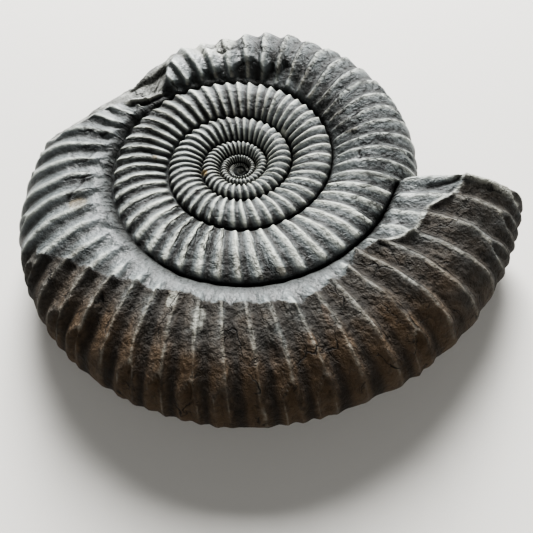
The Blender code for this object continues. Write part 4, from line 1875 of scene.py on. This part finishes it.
    def _add_ledges(
        self, tree: bpy.types.NodeTree, values: Sockets, bend: bpy.types.NodeSocket
    ) -> None:
        """Adds cracks along the crests, each at the same distance behind its crest.

        Args:
            tree: node tree of the material.
            values: sockets by name. The cracks are added to it as "ledge".
            bend: noise by which they stray.
        """
        along = add(tree, "ShaderNodeSeparateXYZ", {}, {0: values["flow"]})
        settings = {"operation": "MULTIPLY", 1: self.ledge_bend}
        bent = add(tree, "ShaderNodeMath", settings, {0: bend})
        place = add(
            tree, "ShaderNodeMath", {"operation": "MULTIPLY_ADD", 1: 1.0 / (FLOW_RIB * MM)},
            {0: along.outputs[0], 2: bent.outputs[0]},
        )
        part = add(tree, "ShaderNodeMath", {"operation": "FRACT"}, {0: place.outputs[0]})
        settings = {"operation": "SUBTRACT", 1: self.ledge_place}
        off = add(tree, "ShaderNodeMath", settings, {0: part.outputs[0]})
        far = add(tree, "ShaderNodeMath", {"operation": "ABSOLUTE"}, {0: off.outputs[0]})
        settings = {1: self.ledge_edge.full, 2: self.ledge_edge.none, 3: 1.0, 4: 0.0}
        ledge = add(tree, "ShaderNodeMapRange", settings, {0: far.outputs[0]})
        values["ledge"] = ledge.outputs[0]

    def _add_flakes(self, tree: bpy.types.NodeTree, values: Sockets) -> bpy.types.NodeSocket:
        """Adds thin layers that have flaked off along ragged edges, drawn out along the ribs.

        Args:
            tree: node tree of the material.
            values: sockets by name. The dark lines along the edges are added as "flake_line".

        Returns:
            Height in layers: the noise cut into level steps.
        """
        level = add(
            tree, "ShaderNodeMath", {"operation": "MULTIPLY", 1: self.flake_layers},
            {0: values["flakes"]},
        ).outputs[0]
        part = add(tree, "ShaderNodeMath", {"operation": "FRACT"}, {0: level}).outputs[0]
        floor = add(tree, "ShaderNodeMath", {"operation": "SUBTRACT"}, {0: level, 1: part}).outputs[0]
        settings = {1: self.flake_rise.none, 2: self.flake_rise.full}
        ramp = add(tree, "ShaderNodeMapRange", settings, {0: part}).outputs[0]
        settings = {1: self.flake_line.start.none, 2: self.flake_line.start.full}
        begins = add(tree, "ShaderNodeMapRange", settings, {0: part}).outputs[0]
        settings = {1: self.flake_line.end.full, 2: self.flake_line.end.none, 3: 1.0, 4: 0.0}
        stops = add(tree, "ShaderNodeMapRange", settings, {0: part}).outputs[0]
        line = add(tree, "ShaderNodeMath", {"operation": "MULTIPLY"}, {0: begins, 1: stops})
        values["flake_line"] = line.outputs[0]
        return add(tree, "ShaderNodeMath", {"operation": "ADD"}, {0: floor, 1: ramp}).outputs[0]

    def _lay_tints(self, tree: bpy.types.NodeTree, values: Sockets) -> bpy.types.NodeSocket:
        """Mixes the tints, one over the other, from the colour of the hollows up.

        Args:
            tree: node tree of the material.
            values: sockets by name.

        Returns:
            The final colour.
        """
        colour = None
        for tint in self.tints:
            settings = {1: tint.low, 2: tint.high, 4: tint.most}
            share = add(tree, "ShaderNodeMapRange", settings, {0: values[tint.value]})
            settings = {"data_type": "RGBA", 7: linear(tint.colour)}
            links = {0: share.outputs[0]}
            if colour is None:
                settings[6] = linear(self.hollow)
            else:
                links[6] = colour
            colour = add(tree, "ShaderNodeMix", settings, links).outputs[2]
        return colour

    def _add_relief(
        self, tree: bpy.types.NodeTree, values: Sockets, terrace: bpy.types.NodeSocket
    ) -> bpy.types.NodeSocket:
        """Adds the fine relief that the mesh is too coarse for.

        Args:
            tree: node tree of the material.
            values: sockets by name.
            terrace: height of the flaked layers.

        Returns:
            The surface normal with grains, pits, cracks and flakes in it.
        """
        height = values["grain"]
        for name, factor in self.relief:
            height = add(
                tree, "ShaderNodeMath", {"operation": "MULTIPLY_ADD", 1: factor},
                {0: values[name], 2: height},
            ).outputs[0]
        settings = {3: self.least_relief, 4: 1.0}
        amount = add(tree, "ShaderNodeMapRange", settings, {0: values["aged"]})
        grains = add(
            tree, "ShaderNodeBump", {"Distance": self.grain_height * MM},
            {"Height": height, "Strength": amount.outputs[0]},
        )
        flakes = add(
            tree, "ShaderNodeBump", {"Distance": self.flake_thickness * MM},
            {"Height": terrace, "Strength": values["flaky"], "Normal": grains.outputs[0]},
        )
        return flakes.outputs[0]


@dataclass(frozen=True)
class Studio:
    """Plain pale floor, one large soft light from beyond the object, and a weak fill."""

    floor_half: float = 1.5
    floor_colour: str = "#c9c7c2"
    floor_roughness: float = 0.9
    key_watts: float = 12.5
    key_size: float = 0.34
    key_place: tuple[float, float, float] = (-0.08, 0.62, 0.44)
    fill_watts: float = 1.8
    fill_size: float = 0.8
    fill_place: tuple[float, float, float] = (0.3, -0.5, 0.7)
    sky: float = 0.08
    exposure: float = 0.6

    def build(self) -> None:
        """Makes the floor, the lights and the surrounding light."""
        mesh = bpy.data.meshes.new("floor")
        half = self.floor_half
        corners = [(-half, -half, 0), (half, -half, 0), (half, half, 0), (-half, half, 0)]
        mesh.from_pydata(corners, [], [(0, 1, 2, 3)])
        floor = bpy.data.objects.new("floor", mesh)
        bpy.context.scene.collection.objects.link(floor)
        material = bpy.data.materials.new("matt_board")
        material.use_nodes = True
        shader = material.node_tree.nodes["Principled BSDF"]
        shader.inputs["Base Color"].default_value = linear(self.floor_colour)
        shader.inputs["Roughness"].default_value = self.floor_roughness
        mesh.materials.append(material)
        self._light("key", self.key_watts, self.key_size, self.key_place)
        self._light("fill", self.fill_watts, self.fill_size, self.fill_place)
        world = bpy.data.worlds.new("room")
        world.use_nodes = True
        background = world.node_tree.nodes["Background"]
        background.inputs["Color"].default_value = (1.0, 1.0, 1.0, 1.0)
        background.inputs["Strength"].default_value = self.sky
        bpy.context.scene.world = world
        settings = bpy.context.scene.view_settings
        settings.view_transform = "AgX"
        settings.look = "AgX - High Contrast"
        settings.exposure = self.exposure

    @staticmethod
    def _light(name: str, watts: float, size: float, place: tuple[float, float, float]) -> None:
        """Adds a square area light that points at the object.

        Args:
            name: name of the light.
            watts: its power.
            size: its side in m.
            place: where it is, in m.
        """
        data = bpy.data.lights.new(name, "AREA")
        data.energy = watts
        data.size = size
        lamp = bpy.data.objects.new(name, data)
        lamp.location = place
        lamp.rotation_euler = Vector(place).to_track_quat("Z", "Y").to_euler()
        bpy.context.scene.collection.objects.link(lamp)


def main() -> None:
    """Builds the stone, its finish and the studio."""
    logging.basicConfig(level=logging.INFO, format="%(name)s: %(message)s")
    spiral = Spiral()
    view = PhotoView()
    surface = ShellSurface(spiral, view)
    stone = surface.build("ammonite_stone")
    stone.data.materials.append(ShellStone().build())
    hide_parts("ammonite")
    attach(stone, "root")
    Studio().build()
    view.build(spiral.shift())


if __name__ == "__main__":
    main()
